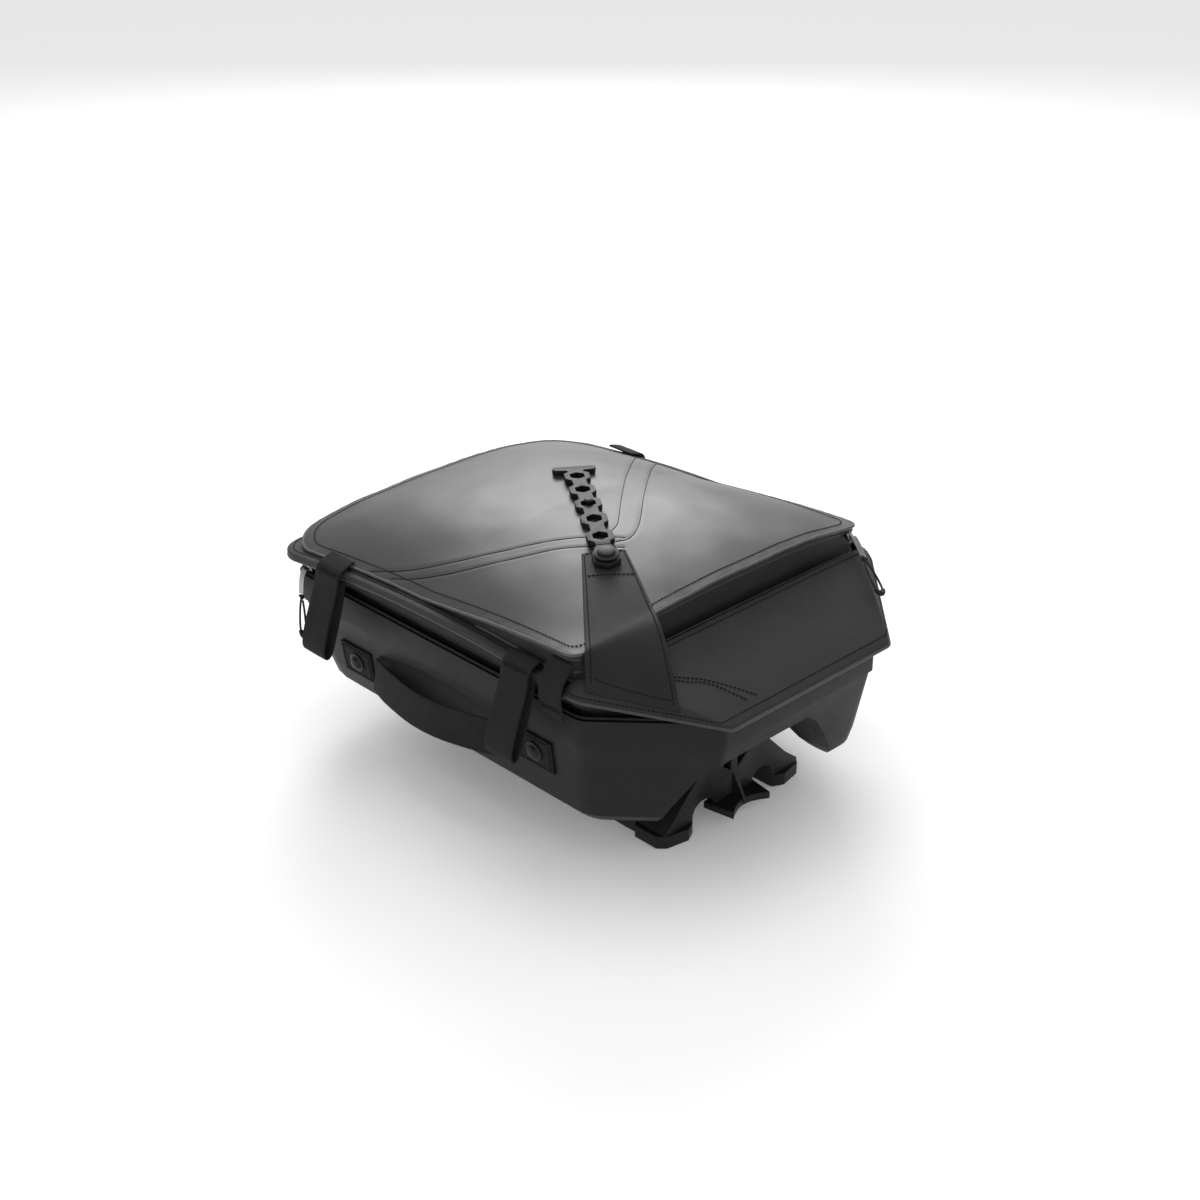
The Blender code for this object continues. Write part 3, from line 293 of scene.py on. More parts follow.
def rope(name, path, radius, slot, look=None, sides=8):
    """A round cord or piping along a path."""
    path = [Vector(point) for point in path]
    last = len(path) - 1
    normal = (path[1] - path[0]).orthogonal().normalized()
    rings = []
    for i, point in enumerate(path):
        along = (path[min(i + 1, last)] - path[max(i - 1, 0)]).normalized()
        normal = (normal - along * normal.dot(along)).normalized()
        other = along.cross(normal)
        turns = [2 * math.pi * k / sides for k in range(sides)]
        rings.append([point + radius * (math.cos(t) * normal + math.sin(t) * other) for t in turns])
    work = bmesh.new()
    rows = [[work.verts.new(point) for point in ring] for ring in rings]
    layer = work.loops.layers.uv.new("UVMap")
    run = measured(path)
    for i in range(last):
        for k in range(sides):
            j = (k + 1) % sides
            face = work.faces.new((rows[i][k], rows[i][j], rows[i + 1][j], rows[i + 1][k]))
            for loop, (u, v) in zip(face.loops, ((i, k), (i, k + 1), (i + 1, k + 1), (i + 1, k))):
                loop[layer].uv = (run[u], v * radius * 2 * math.pi / sides)
    work.faces.new(rows[0])
    work.faces.new(rows[-1])
    bmesh.ops.recalc_face_normals(work, faces=work.faces)
    mesh = bpy.data.meshes.new(name)
    work.to_mesh(mesh)
    work.free()
    return put(name, mesh, slot, look)


def stitches(name, path, slot, pitch=4.2 * MM, long=3.1 * MM, radius=0.55 * MM, look=None):
    """A row of stitches along one or more paths."""
    paths = path if isinstance(path[0], list) else [path]
    sides = 5
    work = bmesh.new()
    for run in paths:
        for place, way in spaced(run, pitch):
            side = way.cross(Vector((0.13, 0.2, 0.97))).normalized()
            rise = side.cross(way).normalized()
            rings = []
            for share, width in ((-0.5, 0.35), (-0.3, 1.0), (0.3, 1.0), (0.5, 0.35)):
                centre = place + way * long * share
                ring = []
                for k in range(sides):
                    turn = 2 * math.pi * k / sides
                    spoke = side * math.cos(turn) + rise * math.sin(turn)
                    ring.append(work.verts.new(centre + radius * width * spoke))
                rings.append(ring)
            for a, b in zip(rings, rings[1:]):
                for k in range(sides):
                    j = (k + 1) % sides
                    work.faces.new((a[k], a[j], b[j], b[k]))
            work.faces.new(rings[0][::-1])
            work.faces.new(rings[-1])
    bmesh.ops.recalc_face_normals(work, faces=work.faces)
    mesh = bpy.data.meshes.new(name)
    work.to_mesh(mesh)
    work.free()
    return put(name, mesh, slot, look or THREAD)


def refined(source, name, body, bevel, angle=32):
    """A finer copy of a CAD node, its edges rounded."""
    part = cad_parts[source]
    mesh = part.data.copy()
    made = bpy.data.objects.new(name, mesh)
    bpy.context.scene.collection.objects.link(made)
    work = bmesh.new()
    work.from_mesh(mesh)
    bmesh.ops.remove_doubles(work, verts=work.verts, dist=2e-6)
    bmesh.ops.dissolve_limit(work, angle_limit=math.radians(1.5), verts=work.verts, edges=work.edges)
    work.to_mesh(mesh)
    work.free()
    mesh.shade_smooth()
    add(made, "BEVEL", width=bevel, segments=3, limit_method="ANGLE", angle_limit=math.radians(angle),
        harden_normals=False, use_clamp_overlap=True)
    applied(made)
    made.data.set_sharp_from_angle(angle=math.radians(38))
    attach(made, body)
    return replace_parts(made, source)


# ---------------------------------------------------------------- shell, plate and hard parts

refined("base_tub", "shell", "base", 1.4 * MM, angle=28)
refined("hook_plate", "plate", "base", 1.3 * MM)
for number in range(1, 5):
    refined(f"plate_screw_{number}", f"screw_{number}", "base", 0.5 * MM)
    refined(f"plate_nut_{number}", f"nut_{number}", "base", 0.5 * MM)
for side in ("left", "right"):
    refined(f"latch_lever_{side}", f"lever_{side}", f"latch_{side}", 1.2 * MM)
    refined(f"latch_pin_{side}", f"pin_{side}", "base", 0.4 * MM)
for where in ("rear", "front"):
    refined(f"handle_rivet_{where}", f"rivet_{where}", "base", 0.5 * MM)
refined("lid_post", "post", "hood", 0.4 * MM)
refined("strap_button", "button", "anchor_strap", 0.4 * MM)
refined("rubber_end_link", "end_link", "anchor_strap", 1.1 * MM)
refined("rubber_strap", "links", "link_strap", 1.1 * MM)
for pull in ("main", "pocket"):
    refined(f"{pull}_zip_slider", f"{pull}_slider_body", f"{pull}_slider", 0.7 * MM)
    refined(f"{pull}_zip_tab", f"{pull}_tab_leaf", f"{pull}_pull", 0.35 * MM)


# ---------------------------------------------------------------- lid

# Places in plan along the lid's four seams, in millimetres.
SEAMS = [
    [(-204, 170), (-181, 115), (-133, 63), (-99, 32), (-66, 1), (-36, -33)],
    [(-203, 139), (-190, 104), (-162, 65), (-130, 33), (-95, 3), (-77, -15), (-50, -46)],
    [(-66, -30), (-39, -14), (-20, -5), (16, 27), (75, 79), (140, 132), (198, 183)],
    [(-70, -48), (-53, -32), (-34, -36), (-4, -20), (59, 34), (120, 85), (177, 132), (202, 152)],
]
SEAM_RUNS = [[Vector((p.x, p.y, 0)) for p in curve_through([(x * MM, y * MM, 0) for x, y in seam], 7)]
             for seam in SEAMS]
ALL_SEAMS = [np.array([(p.x, p.y) for p, _ in spaced(run, 1.5 * MM)]) for run in SEAM_RUNS]


def seam_dip(x, y):
    """A shallow groove pressed along each seam, with a slight welt beside it."""
    nearest = min(float(np.min(np.hypot(run[:, 0] - x, run[:, 1] - y))) for run in ALL_SEAMS)
    groove = -0.55 * MM * math.exp(-((nearest / (1.8 * MM)) ** 2))
    return groove + 0.15 * MM * math.exp(-(((nearest - 5 * MM) / (3 * MM)) ** 2))


def lid_face(x, y):
    """The lid's upper side with its slack, dents and seams."""
    ease = max(0.0, 1 - max(abs(x) / LID_HALF, 0.0) ** 6)
    slack = 2.2 * MM * noise.noise(Vector((x * 9, y * 7, 1.3)))
    slack += 0.9 * MM * noise.noise(Vector((x * 24, y * 19, 4.1)))
    edge = min(LID_HALF - abs(x), y - LID_FRONT, LID_BACK - y)
    pucker = 0.5 * MM * math.exp(-((edge / (9 * MM)) ** 2)) * noise.noise(Vector((x * 95, y * 95, 2.0)))
    return lid_height(x, y) + 0.6 * MM + slack * ease + pucker + seam_dip(x, y)


def lid_rows(front, back, across=184, along=204):
    """Rows of plan points inside the lid's outline, its four corners rounded."""
    rows = []
    for i in range(along + 1):
        y = front + (back - front) * i / along
        half = LID_HALF
        for corner, radius in ((front, LID_FRONT_ROUND), (back, LID_BACK_ROUND)):
            deep = abs(y - corner)
            if deep < radius:
                half = min(half, LID_HALF - radius + math.sqrt(max(0.0, radius**2 - (radius - deep) ** 2)))
        rows.append([(half * (2 * j / across - 1), y) for j in range(across + 1)])
    return rows


LID_PLAN = lid_rows(LID_FRONT, LID_BACK)
lid_points = [[(x, y, CREASE + lid_face(x, y)) for x, y in row] for row in LID_PLAN]
lid = cloth("lid", lid_points[::-1], 2.8 * MM, "coated_fabric")
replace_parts(lid, "lid_front", "lid_rear")
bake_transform(lid)


def on_lid(points, lift=0.0):
    return [Vector((x, y, CREASE + lid_face(x, y) + lift)) for x, y in points]


rim = [row[0] for row in LID_PLAN] + LID_PLAN[-1][1:-1] + [row[-1] for row in reversed(LID_PLAN)]
rim += LID_PLAN[0][-2:0:-1] + [LID_PLAN[0][0]]
binding = rope("lid_binding", on_lid(rim, -1.4 * MM), 1.9 * MM, "coated_fabric", TRIM)
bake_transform(binding)


def inset(gap):
    """The lid's outline drawn in by a gap."""
    share = 1 - gap / LID_HALF
    middle, half = (LID_FRONT + LID_BACK) / 2, (LID_BACK - LID_FRONT) / 2
    return [(x * share, middle + (y - middle) * (1 - gap / half)) for x, y in rim]


margin_line = on_lid(inset(9 * MM), 0.45 * MM)
margin = stitches("lid_margin_stitches", margin_line, "coated_fabric", look=PALE_THREAD)
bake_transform(margin)
seam_paths = [on_lid([(p.x, p.y) for p in run], 0.35 * MM) for run in SEAM_RUNS]
for number, line in enumerate(seam_paths, 1):
    cord_line = rope(f"lid_seam_line_{number}", [p - Vector((0, 0, 0.25 * MM)) for p in line], 0.42 * MM,
                     "coated_fabric", PALE_THREAD, sides=6)
    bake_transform(cord_line)
seam_thread = stitches("lid_seam_stitches", seam_paths, "coated_fabric", pitch=3.4 * MM, long=3.0 * MM,
                       radius=0.38 * MM, look=PALE_THREAD)
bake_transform(seam_thread)


# ---------------------------------------------------------------- plan outlines


def inset_corners(corners, moves):
    count, moved = len(corners), []
    for i in range(count):
        before, here, after = (Vector(corners[(i + k) % count]) for k in (-1, 0, 1))
        first, second = (here - before).normalized(), (after - here).normalized()
        first_in = Vector((-first.y, first.x)) * moves[(i - 1) % count]
        second_in = Vector((-second.y, second.x)) * moves[i]
        moved.append(here + first_in + first * ((second_in - first_in).cross(second) / first.cross(second)))
    return moved


def fillet(corners, radii, arc=12, edge=15):
    """Outline points: each corner as an arc, each straight stretch in steps."""
    count, arcs = len(corners), []
    for i in range(count):
        before, here, after = (Vector(corners[(i + k) % count]) for k in (-1, 0, 1))
        first, second = (here - before).normalized(), (after - here).normalized()
        turn = math.acos(max(-1, min(1, first.dot(second))))
        inward = Vector((-first.y, first.x)) * radii[i]
        centre = here - first * radii[i] * math.tan(turn / 2) + inward
        arcs.append([centre - Matrix.Rotation(turn * k / arc, 2) @ inward for k in range(arc + 1)])
    points = []
    for i in range(count):
        points += arcs[i]
        end, start = arcs[i][-1], arcs[(i + 1) % count][0]
        points += [end.lerp(start, k / edge) for k in range(1, edge)]
    return points


CORNERS = [(-0.111, -0.240), (0.111, -0.240), (0.205, -0.140), (0.205, 0.310), (-0.205, 0.310),
           (-0.205, -0.140)]
FLAP_RADII = [r * MM for r in (12, 12, 30, 44, 44, 30)]
SHELL_RADII = [r * MM for r in (8, 8, 22, 24, 24, 22)]
ARC, EDGE = 12, 15
TURN = ARC + EDGE


def outline(moved, radii):
    return fillet(inset_corners(CORNERS, [moved] * 6), radii, ARC, EDGE)


def over_back(path):
    return path[2 * TURN + ARC : 5 * TURN + 1]


def round_panel(path):
    return path[5 * TURN :] + path[: 2 * TURN + EDGE]


def inwards(path):
    found = []
    for i in range(len(path)):
        along = (Vector(path[min(i + 1, len(path) - 1)]) - Vector(path[max(i - 1, 0)])).normalized()
        found.append(Vector((-along.y, along.x)))
    return found


# ---------------------------------------------------------------- storm flap and end panel

flap_edge = over_back(outline(-14 * MM, FLAP_RADII))
FLAP_WAYS = inwards(flap_edge)


def flap_point(i, deep, lift=0.0):
    """A point on the flap's face: rolled over at its free edge, flat further in."""
    point = Vector(flap_edge[i]) + FLAP_WAYS[i] * deep
    sag = -0.5 * MM * noise.noise(Vector((point.x * 14, point.y * 14, 0.4)))
    roll = -1.6 * MM * math.exp(-deep / (2.2 * MM))
    return Vector((point.x, point.y, CREASE + flap_height(point.y) + roll + sag + lift + 0.3 * MM))


def flap_rows(deeps, lift=0.0):
    return [[flap_point(i, deep, lift) for i in range(len(flap_edge))] for deep in deeps]


FLAP_DEEPS = [0, 0.6, 1.4, 2.6, 4.5, 7, 10, 14, 18, 22, 26.5]
lip = [flap_rows([0], drop * MM)[0] for drop in (-6.4, -4.2, -2.0)]
flap = cloth("flap", (lip + flap_rows([d * MM for d in FLAP_DEEPS]))[::-1], 2.4 * MM, "panel_fabric")
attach(flap, "hood")
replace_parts(flap, "storm_flap")
hem = rope("flap_hem", flap_rows([0.9 * MM], -6.4 * MM)[0], 1.4 * MM, "panel_fabric", LOOKS["coated_fabric"])
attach(hem, "hood")
flap_thread = stitches("flap_stitches", flap_rows([7 * MM], 0.5 * MM)[0], "panel_fabric")
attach(flap_thread, "hood")

top_corners = [(-0.192, -0.150), (0.192, -0.150), (0.203, FLAP_FRONT), (0.203, 0.310), (-0.203, 0.310),
               (-0.203, FLAP_FRONT)]
panel_top = round_panel(fillet(top_corners, [r * MM for r in (8, 8, 10, 44, 44, 10)], ARC, EDGE))
panel_low = round_panel(outline(-14 * MM, FLAP_RADII))


def panel_bulge(share, x, y):
    """How far the end panel's padding rises over its flat."""
    return 1.6 * MM * math.sin(math.pi * share) + 0.7 * MM * noise.noise(Vector((x * 13, y * 20, 7.0)))


def panel_point(i, share, lift=0.0):
    """A point on the end panel, from its free lower edge (0) to its top (1)."""
    (x, y), (u, v) = panel_low[i], panel_top[i]
    level = max(0.0, min(1.0, (v - FLAP_FRONT) / -0.010))
    top, low = 0.076 + 0.003 * level, flap_height(y)
    flat = Vector((x, y, low)).lerp(Vector((u, v, top)), share)
    bulge = panel_bulge(share, flat.x, flat.y)
    roll = -2.0 * MM * math.exp(-share * 40)
    return flat + Vector((0, 0, CREASE + bulge * min(1, share * 5) + roll + lift))


def panel_row(share, lift=0.0, first=0, last=None):
    return [panel_point(i, share, lift) for i in range(first, last or len(panel_low))]


PANEL_SHARES = [0, 0.006, 0.015, 0.03, 0.06, 0.12, 0.2, 0.3, 0.4, 0.5, 0.6, 0.7, 0.8, 0.9, 1.0]
panel = cloth("panel", [panel_row(s) for s in PANEL_SHARES][::-1], 2.4 * MM, "panel_fabric")
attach(panel, "hood")
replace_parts(panel, "end_panel")
panel_hem = rope("panel_hem", panel_row(0.0, -1.2 * MM), 1.6 * MM, "panel_fabric", LOOKS["coated_fabric"])
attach(panel_hem, "hood")
panel_seams = [panel_row(share, 0.3 * MM) for share in (0.085, 0.95)]
panel_thread = stitches("panel_stitches", panel_seams, "panel_fabric")
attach(panel_thread, "hood")
ARC_SEAMS = [[(-0.150, -0.170), (-0.121, -0.1885), (-0.097, -0.2048), (-0.064, -0.2388)],
             [(-0.146, -0.176), (-0.119, -0.195), (-0.098, -0.2095), (-0.078, -0.2395)]]


def on_panel(x, y, lift=0.0):
    """A point on the end panel's face over a place in plan."""
    share = max(0.0, min(1.0, (y - PANEL_EDGE) / 0.104))
    height = EDGE_LEVEL + (PANEL_TOP_LEVEL - EDGE_LEVEL) * share
    return Vector((x, y, CREASE + height + panel_bulge(share, x, y) + lift))


# ---------------------------------------------------------------- pocket's rolled edge and zips


def front_rim(inset_by, arc=6, edge=60):
    """The lid's outline at the pocket's opening: down the left side, round the front, up the right."""
    points = fillet(LID_CORNERS, [LID_FRONT_ROUND] * 4, arc, edge)
    turn = arc + edge
    run = [p for p in points[3 * turn :] + points[: 2 * turn] if p.y < POCKET_END]
    return [Vector(p) + way * inset_by for p, way in zip(run, inwards(run))]


def wall_low(y):
    """The height over the crease at which the lid's side wall meets the storm flap."""
    return flap_height(y) + 0.3 * MM


def wall_level(x, y, share):
    """A height on the lid's side wall, from the storm flap (0) to the lid's underside (1)."""
    low = wall_low(y)
    return CREASE + low + max(0.4 * MM, lid_height(x, y) - 2.0 * MM - low) * share


def lid_loop(inset_by):
    """The lid's whole outline in plan, drawn in by a distance."""
    middle, back_round = 0.1, 46 * MM
    moved = [(x - math.copysign(inset_by, x), y - math.copysign(inset_by, y - middle))
             for x, y in LID_CORNERS]
    return fillet(moved, [LID_FRONT_ROUND] * 2 + [back_round] * 2, 10, 48)


wall_rows = [[(p.x, p.y, wall_level(p.x, p.y, share)) for p in lid_loop(2.0 * MM)]
             for share in (0.97, 0.85, 0.7, 0.5, 0.3, 0.15, 0.02)]
wall_piece = cloth("lid_side", wall_rows[::-1], 1.6 * MM, "panel_fabric", closed=True)
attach(wall_piece, "hood")
piping_line = [(p.x, p.y, wall_level(p.x, p.y, 0.12)) for p in front_rim(1.0 * MM)]
piping = rope("pocket_piping", piping_line, 1.3 * MM, "panel_fabric", TRIM)
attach(piping, "hood")


def teeth(name, path, body, pitch=2.4 * MM, tall=3.4 * MM):
    """Interlocked zip teeth along a path, facing out of it."""
    work = bmesh.new()
    for place, way in spaced(path, pitch):
        out = way.cross(Vector((0, 0, 1))).normalized()
        rise = out.cross(way).normalized()
        for k, side in enumerate((-1, 1)):
            centre = place + way * pitch * 0.25 * side + rise * tall * 0.22 * side
            size = (pitch * 0.36, 0.75 * MM, tall * 0.34)
            corners = []
            for a in (-1, 1):
                for b in (-1, 1):
                    for c in (-1, 1):
                        trim = 0.6 if b > 0 else 1.0
                        shift = way * size[0] * a * trim / 2 + out * size[1] * b + rise * size[2] * c * trim
                        corners.append(work.verts.new(centre + shift))
            for quad in ((0, 1, 3, 2), (4, 6, 7, 5), (0, 4, 5, 1), (2, 3, 7, 6), (0, 2, 6, 4), (1, 5, 7, 3)):
                work.faces.new([corners[q] for q in quad])
    bmesh.ops.recalc_face_normals(work, faces=work.faces)
    mesh = bpy.data.meshes.new(name)
    work.to_mesh(mesh)
    work.free()
    made = put(name, mesh, "zip_chain")
    mesh.shade_flat()
    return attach(made, body)


teeth("pocket_teeth", [Vector((p.x, p.y, wall_level(p.x, p.y, 0.62))) for p in front_rim(1.7 * MM)], "hood")
for name, share, radius in (("pocket_welt_high", 0.86, 1.4), ("pocket_welt_low", 0.44, 1.1)):
    line = [(p.x, p.y, wall_level(p.x, p.y, share)) for p in front_rim(1.5 * MM)]
    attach(rope(name, line, radius * MM, "coated_fabric"), "hood")
gusset_path = outline(10 * MM, SHELL_RADII)
front_path = gusset_path[4 * TURN + ARC :] + gusset_path[: 3 * TURN + 1]
teeth("main_teeth", [Vector((p.x, p.y, CREASE + 36 * MM)) for p in front_path], "base")


def ring_stitches(name, level, body):
    path = [Vector((p.x, p.y, CREASE + level)) for p in outline(9.7 * MM, SHELL_RADII)]
    made = stitches(name, path + [path[0]], "soft_band")
    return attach(made, body)


ring_stitches("gusset_stitches_low", 32.6 * MM, "base")


def band_row(share, bulge):
    """One row of the padded band over the zip, from its seam (0) up to the flap (1)."""
    row = []
    for p in outline((9.6 - bulge) * MM, SHELL_RADII):
        low, high = CREASE + 38.6 * MM, CREASE + flap_height(p.y) - 3.2 * MM
        row.append((p.x, p.y, low + max(0.0, high - low) * share))
    return row


BAND = ((0.0, 0.0), (0.06, 0.3), (0.14, 1.6), (0.24, 4.2), (0.36, 6.0), (0.5, 6.8), (0.66, 6.6), (0.82, 5.6),
        (1.0, 4.4))
rim_line = [Vector((p.x, p.y, CREASE + 33.2 * MM)) for p in outline(3.2 * MM, SHELL_RADII)]
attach(rope("shell_rim_piping", rim_line + [rim_line[0]], 1.6 * MM, "soft_band"), "base")
band = cloth("band", [band_row(share, bulge) for share, bulge in BAND], 2.0 * MM, "soft_band", closed=True)
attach(band, "hood")
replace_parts(band, "gusset_upper")
band_line = [band_row(share, bulge + 0.2) for share, bulge in ((0.24, 4.2), (0.7, 6.5))]
for number, row in enumerate(band_line, 1):
    row = [Vector(point) for point in row]
    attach(rope(f"band_seam_{number}", row + [row[0]], 0.5 * MM, "soft_band", THREAD), "hood")


# ---------------------------------------------------------------- webbing


def webbing(name, route, width, across, steps=7, count=9):
    """A flat woven strap along a route, slightly cupped, with its edges rounded."""
    path = curve_through(route, steps)
    across, last, rows = Vector(across).normalized(), len(path) - 1, []
    for i, point in enumerate(path):
        along = (path[min(i + 1, last)] - path[max(i - 1, 0)]).normalized()
        face = along.cross(across).normalized()
        side = face.cross(along).normalized()
        row = []
        for k in range(count):
            share = 2 * k / (count - 1) - 1
            cup = 0.35 * MM * noise.noise(Vector((i * 0.13, share * 1.5, width * 100)))
            row.append(point + side * share * width / 2 + face * (WEBBING_THICK / 2 + cup))
        rows.append(row)
    return cloth(name, rows, WEBBING_THICK, "webbing", soften=1.1), path


def bars(name, path, width, across, places, body, out=1):
    """Stitched bars across a strap: rows of thread at given shares of its path."""
    across, runs = Vector(across).normalized(), []
    last = len(path) - 1
    for share in places:
        i = max(1, min(last - 1, round(share * last)))
        along = (path[i + 1] - path[i - 1]).normalized()
        face = along.cross(across).normalized()
        lift = face * (WEBBING_THICK / 2 + 0.3 * MM) * out
        runs.append([path[i] + across * width / 2 * 0.86 * s + lift for s in (-1, 0, 1)])
        runs.append([p + along * 3 * MM for p in runs[-1]])
    made = stitches(name, runs, "webbing", pitch=3.2 * MM, long=2.4 * MM)
    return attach(made, body)


for side, word in ((-1, "left"), (1, "right")):
    for where, y in (("rear", 0.214), ("front", -0.076)):
        edge, over = 0.219, flap_height(y)
        start = (edge - 0.016, over + 0.0085) if wedge(y) < 0.005 else (edge - 0.0115, over + 0.005)
        route = [start, (edge - 0.005, over + 0.0055), (edge + 0.0055, over - 0.0005),
                 (edge + 0.011, over - 0.022),
                 (edge + 0.025, over - 0.058), (edge + 0.031, over - 0.080), (edge + 0.028, over - 0.089),
                 (edge + 0.021, over - 0.084), (edge + 0.013, over - 0.062), (edge + 0.004, over - 0.034),
                 (edge - 0.003, over - 0.0065)]
        route = [(side * x, y, CREASE + z) for x, z in route]
        strap, path = webbing(f"loop_{word}_{where}", route, WEBBING, (0, 1, 0))
        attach(strap, "hood")
        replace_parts(strap, f"keeper_{word}_{where}")
        bars(f"loop_{word}_{where}_bartack", path, WEBBING, (0, 1, 0), (0.2,), "hood", out=side)

edge, over = 0.219, flap_height(-0.121)
route = [(edge - 0.012, over + 0.022), (edge - 0.006, over + 0.016), (edge + 0.002, over + 0.005),
         (edge + 0.005, over - 0.010), (edge + 0.002, over - 0.032)]
tab, tab_path = webbing("tab", [(-x, -0.121, CREASE + z) for x, z in route], TAB_WIDTH, (0, 1, 0))
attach(tab, "hood")
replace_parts(tab, "corner_tab")
bars("tab_bartack", tab_path, TAB_WIDTH, (0, 1, 0), (0.85,), "hood", out=-1)


def side_skin(z):
    """How far out the tub's side stands at a height below the crease."""
    share = min(1.0, max(0.0, (-z - 0.001) / (0.103 - 0.034 - 0.001)))
    return 0.205 - 0.003 - 0.010 * share


(rear_y, rear_z), (front_y, front_z) = (0.210, -0.048), (-0.072, -0.033)
run = front_y - rear_y
route = []
HANDLE_BOW = ((0.13, 4, 0), (0.24, 13, 1), (0.42, 21, 3), (0.58, 21, 3), (0.77, 13, 1), (0.88, 4, 0))
for share, out, low in HANDLE_BOW:
    z = rear_z + (front_z - rear_z) * share
    route.append((-side_skin(z) - 0.022 * out / 21 - 0.0026, rear_y + run * share, CREASE + z - low * MM))
grip, grip_path = webbing("grab_handle", route, WEBBING, (0.154, 0, 1), steps=9)
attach(grip, "handle")
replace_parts(grip, "side_handle")
slope = Vector((side_skin(-0.002) - side_skin(-0.060), 0, -0.058)).normalized()
out_way = Vector((slope.z, 0, -slope.x))
for where, (y, z) in (("rear", (rear_y, rear_z)), ("front", (front_y, front_z))):
    middle = Vector((-side_skin(z), y, CREASE + z)) + out_way * (0.3 * MM + WEBBING_THICK / 2)
    patch_route = [middle + Vector((0, way * 0.025, 0)) for way in (-1, -0.33, 0.33, 1)]
    patch, _ = webbing(f"patch_{where}", patch_route, WEBBING, slope, steps=4)
    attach(patch, "base")
    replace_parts(patch, f"handle_patch_{where}")
    lift = out_way * (WEBBING_THICK / 2 + 0.4 * MM)
    frame_line = [middle + slope * a * 0.0155 + Vector((0, b * 0.0215, 0)) + lift
                  for a, b in ((-1, -1), (1, -1), (1, 1), (-1, 1), (-1, -1))]
    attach(stitches(f"patch_{where}_stitches", frame_line, "webbing"), "base")


# ---------------------------------------------------------------- corner strap

panel_arcs = []
for arc in ARC_SEAMS:
    smooth_arc = curve_through([(*place, 0) for place in arc], 6)
    panel_arcs.append([on_panel(p.x, p.y, 0.5 * MM) for p in smooth_arc])
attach(stitches("panel_arc_stitches", panel_arcs, "panel_fabric"), "hood")

root_a = STRAP_ROOT - EDGE_WAY * 0.044 + STRAP_WAY * 0.003
root_b = STRAP_ROOT + EDGE_WAY * 0.044 + STRAP_WAY * 0.003
end_a, end_b = strap_place(STRAP_LENGTH, -0.022), strap_place(STRAP_LENGTH, 0.022)


def strap_point(along, across, lift=0.0):
    left, right = root_a.lerp(end_a, along), root_b.lerp(end_b, along)
    x, y = left.lerp(right, across)
    crease = 0.9 * MM * noise.noise(Vector((x * 30, y * 16, 3.0))) * math.sin(math.pi * min(1, along * 1.25))
    return Vector((x, y, CREASE + strap_height(x, y) + lift + abs(crease)))


strap_rows = [[strap_point(i / 72, j / 22) for j in range(23)] for i in range(73)]
strap = cloth("anchor", strap_rows[::-1], WEBBING_THICK, "coated_fabric", STRAP_LOOK)
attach(strap, "anchor_strap")
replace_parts(strap, "corner_strap")
lines = [[strap_point(i / 60, across, 0.3 * MM) for i in range(1, 60)] for across in (0.06, 0.94)]
lines.append([strap_point(0.985, j / 12, 0.3 * MM) for j in range(1, 12)])
button_share = (STRAP_BUTTON - STRAP_ROOT).length / STRAP_LENGTH
lines.append([strap_point(button_share - 0.13, j / 12, 0.4 * MM) for j in range(1, 12)])
lines.append([strap_point(0.03, j / 12, 0.3 * MM) for j in range(1, 12)])
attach(stitches("anchor_stitches", lines, "coated_fabric"), "anchor_strap")


# ---------------------------------------------------------------- zip pull cords

LOOP_SIDE = ((0, 0.35), (0.25, 0.8), (0.6, 1.1), (0.9, 0.9))
LOOP = (*LOOP_SIDE, (1.0, 0), *((t, -side) for t, side in LOOP_SIDE[::-1]))


def pull(name, place, out, down, lean, body):
    """The loop of cord on a zip tab, with its knot and its moulded grip."""
    out, down = Vector(out).normalized(), Vector(down).normalized()
    across = out.cross(down).normalized()
    leaf = curve_through([Vector(place) + out * a * MM + down * b * MM for a, b in lean], 3)
    hang = ((leaf[-1] - leaf[-2]).normalized() + down * 1.5).normalized()
    knot = leaf[-1] + hang * 3.7 * MM
    top = knot + hang * 3.7 * MM
    path = curve_through([top + hang * t * 0.044 + across * side * 0.0046 for t, side in LOOP], 8)
    data = bpy.data.curves.new(f"{name}_loop", "CURVE")
    data.dimensions = "3D"
    spline = data.splines.new("POLY")
    spline.points.add(len(path) - 1)
    for point, position in zip(spline.points, path):
        point.co = (*position, 1)
    data.bevel_depth = 1.2 * MM
    data.bevel_resolution = 3
    data.use_fill_caps = True
    data.materials.append(LOOKS["cord"])
    loop = bpy.data.objects.new(f"{name}_loop", data)
    bpy.context.scene.collection.objects.link(loop)
    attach(loop, body)
    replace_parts(loop, f"{name}_zip_cord")
    half = len(path) // 2
    grip_path = path[half - 9 : half + 10]
    moulded = rope(f"{name}_finger_grip", grip_path, 2.5 * MM, "rubber", sides=14)
    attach(moulded, body)
    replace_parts(moulded, f"{name}_zip_grip")
    turns = 40
    strand = []
    for k in range(turns + 1):
        angle = 2 * math.pi * k / turns
        wide = Vector((math.sin(angle), math.sin(2 * angle) * 0.55, math.cos(3 * angle) * 0.5))
        flat = knot + across * wide.x * 2.3 * MM + hang * wide.y * 3.0 * MM
        strand.append(flat + across.cross(hang) * wide.z * 2.0 * MM)
    tie = rope(f"{name}_tie", strand, 1.3 * MM, "cord")
    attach(tie, body)
    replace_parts(tie, f"{name}_zip_knot")


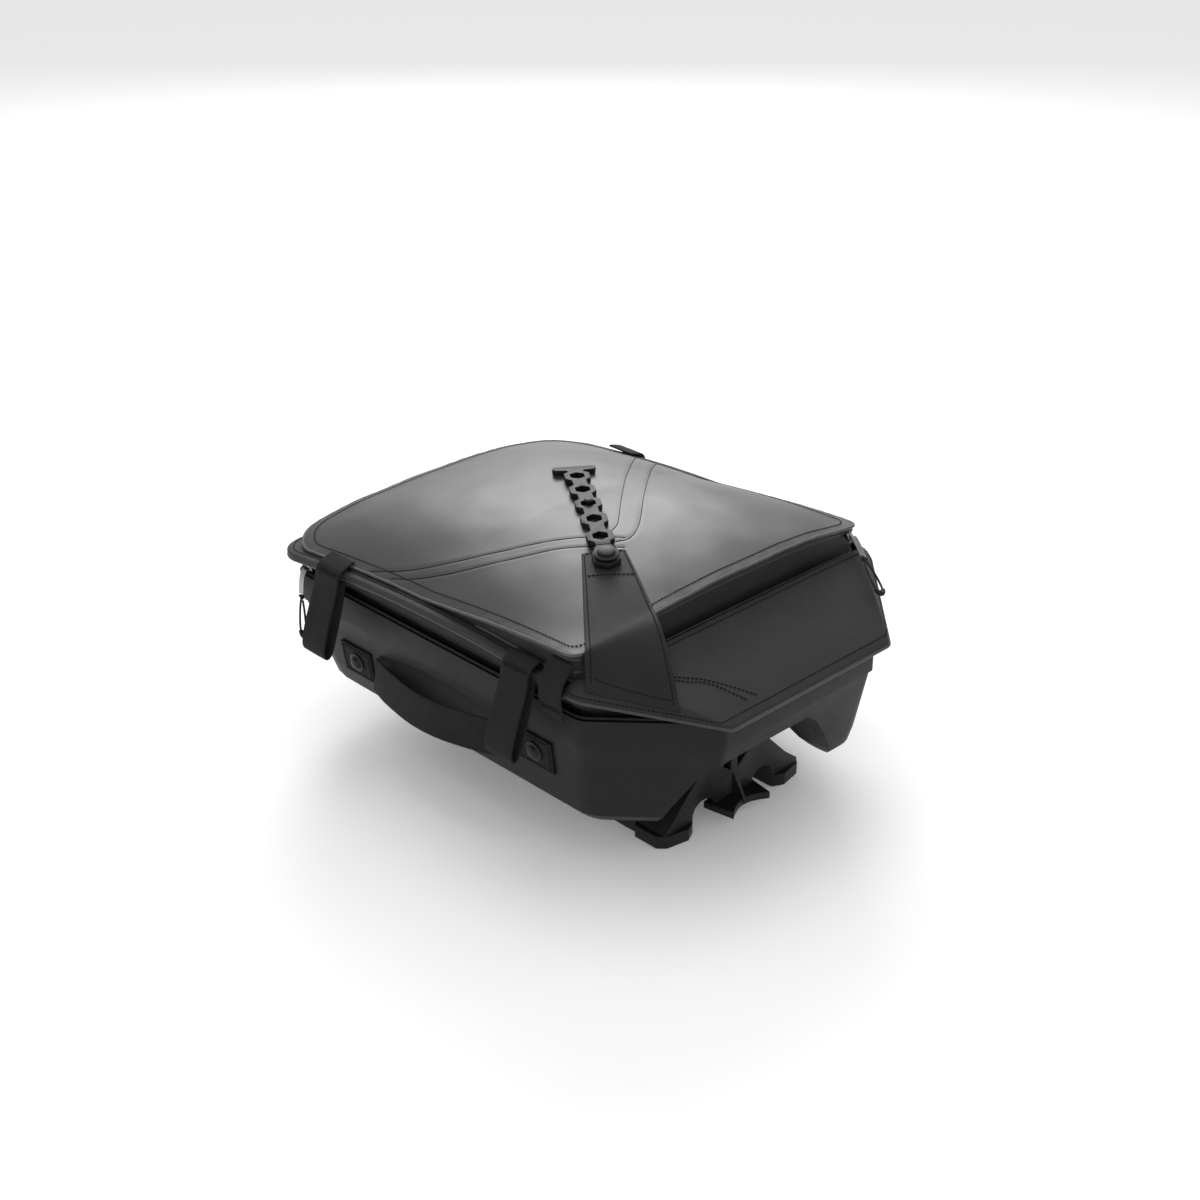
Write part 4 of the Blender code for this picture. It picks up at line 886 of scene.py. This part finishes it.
pull("main", (-0.205 + 0.0097, 0.283, CREASE + 0.036), (-1, 0, 0), (0, 0, -1),
     [(6.4, -3.5), (9.4, -3.5), (13, 1), (15.5, 10), (17, 24)], "main_pull")
low_wall = wall_low(LID_FRONT)
wall_high = low_wall + (wedge(LID_FRONT) - 0.3 * MM) * 0.7
chain_high = low_wall + wedge(LID_FRONT) - 0.6 * MM
pocket_place = (0.186, -0.1412, CREASE + (wall_high + chain_high) / 2 - 2 * MM)
pull("pocket", pocket_place, (-0.1, -0.85, 0.5), (-0.4, -0.83, -0.38),
     [(6.4, -3), (8.6, -2), (9.4, 3), (9, 12), (8, 26)], "pocket_pull")


# ---------------------------------------------------------------- floor, light and camera

floor_mesh = bpy.data.meshes.new("floor")
floor_mesh.from_pydata([(-8, -8, 0), (8, -8, 0), (8, 8, 0), (-8, 8, 0)], [], [(0, 1, 2, 3)])
floor = bpy.data.objects.new("floor", floor_mesh)
bpy.context.scene.collection.objects.link(floor)
floor.location.z = -0.001
pale = bpy.data.materials.new("floor_look")
pale.use_nodes = True
floor_look = {"Base Color": (0.93, 0.93, 0.93, 1), "Roughness": 0.9, "Emission Color": (1, 1, 1, 1),
              "Emission Strength": 0.12}
for key, value in floor_look.items():
    pale.node_tree.nodes["Principled BSDF"].inputs[key].default_value = value
floor_mesh.materials.append(pale)

world = bpy.data.worlds.new("studio")
bpy.context.scene.world = world
world.use_nodes = True
world.node_tree.nodes["Background"].inputs["Color"].default_value = (1, 1, 1, 1)
world.node_tree.nodes["Background"].inputs["Strength"].default_value = 0.72


def lamp(name, place, aim, size, power):
    data = bpy.data.lights.new(name, "AREA")
    data.size, data.energy = size, power
    made = bpy.data.objects.new(name, data)
    bpy.context.scene.collection.objects.link(made)
    made.location = place
    made.rotation_mode = "QUATERNION"
    made.rotation_quaternion = (Vector(aim) - Vector(place)).to_track_quat("-Z", "Y")


lamp("back_softbox", (1.7, 1.9, 1.7), (0, 0.1, 0.2), 1.4, 46)
lamp("top_softbox", (0.2, 0.2, 2.4), (0, 0, 0.2), 1.8, 14)
lamp("front_fill", (-2.2, -1.5, 1.2), (0, 0, 0.15), 1.6, 6)

turn, tilt = math.radians(44.448), math.radians(27.505)
right = Vector((math.cos(turn), -math.sin(turn), 0))
up = Vector((math.sin(turn) * math.sin(tilt), math.cos(turn) * math.sin(tilt), math.cos(tilt)))
camera = bpy.data.objects.new("camera", bpy.data.cameras.new("camera"))
bpy.context.scene.collection.objects.link(camera)
camera.matrix_world = Matrix((right, up, right.cross(up))).transposed().to_4x4()
camera.location = (-1.2554, -1.2391, 1.1056)
camera.data.lens, camera.data.sensor_width = 57.0, 36.0
bpy.context.scene.camera = camera
bpy.context.scene.view_settings.view_transform = "Standard"
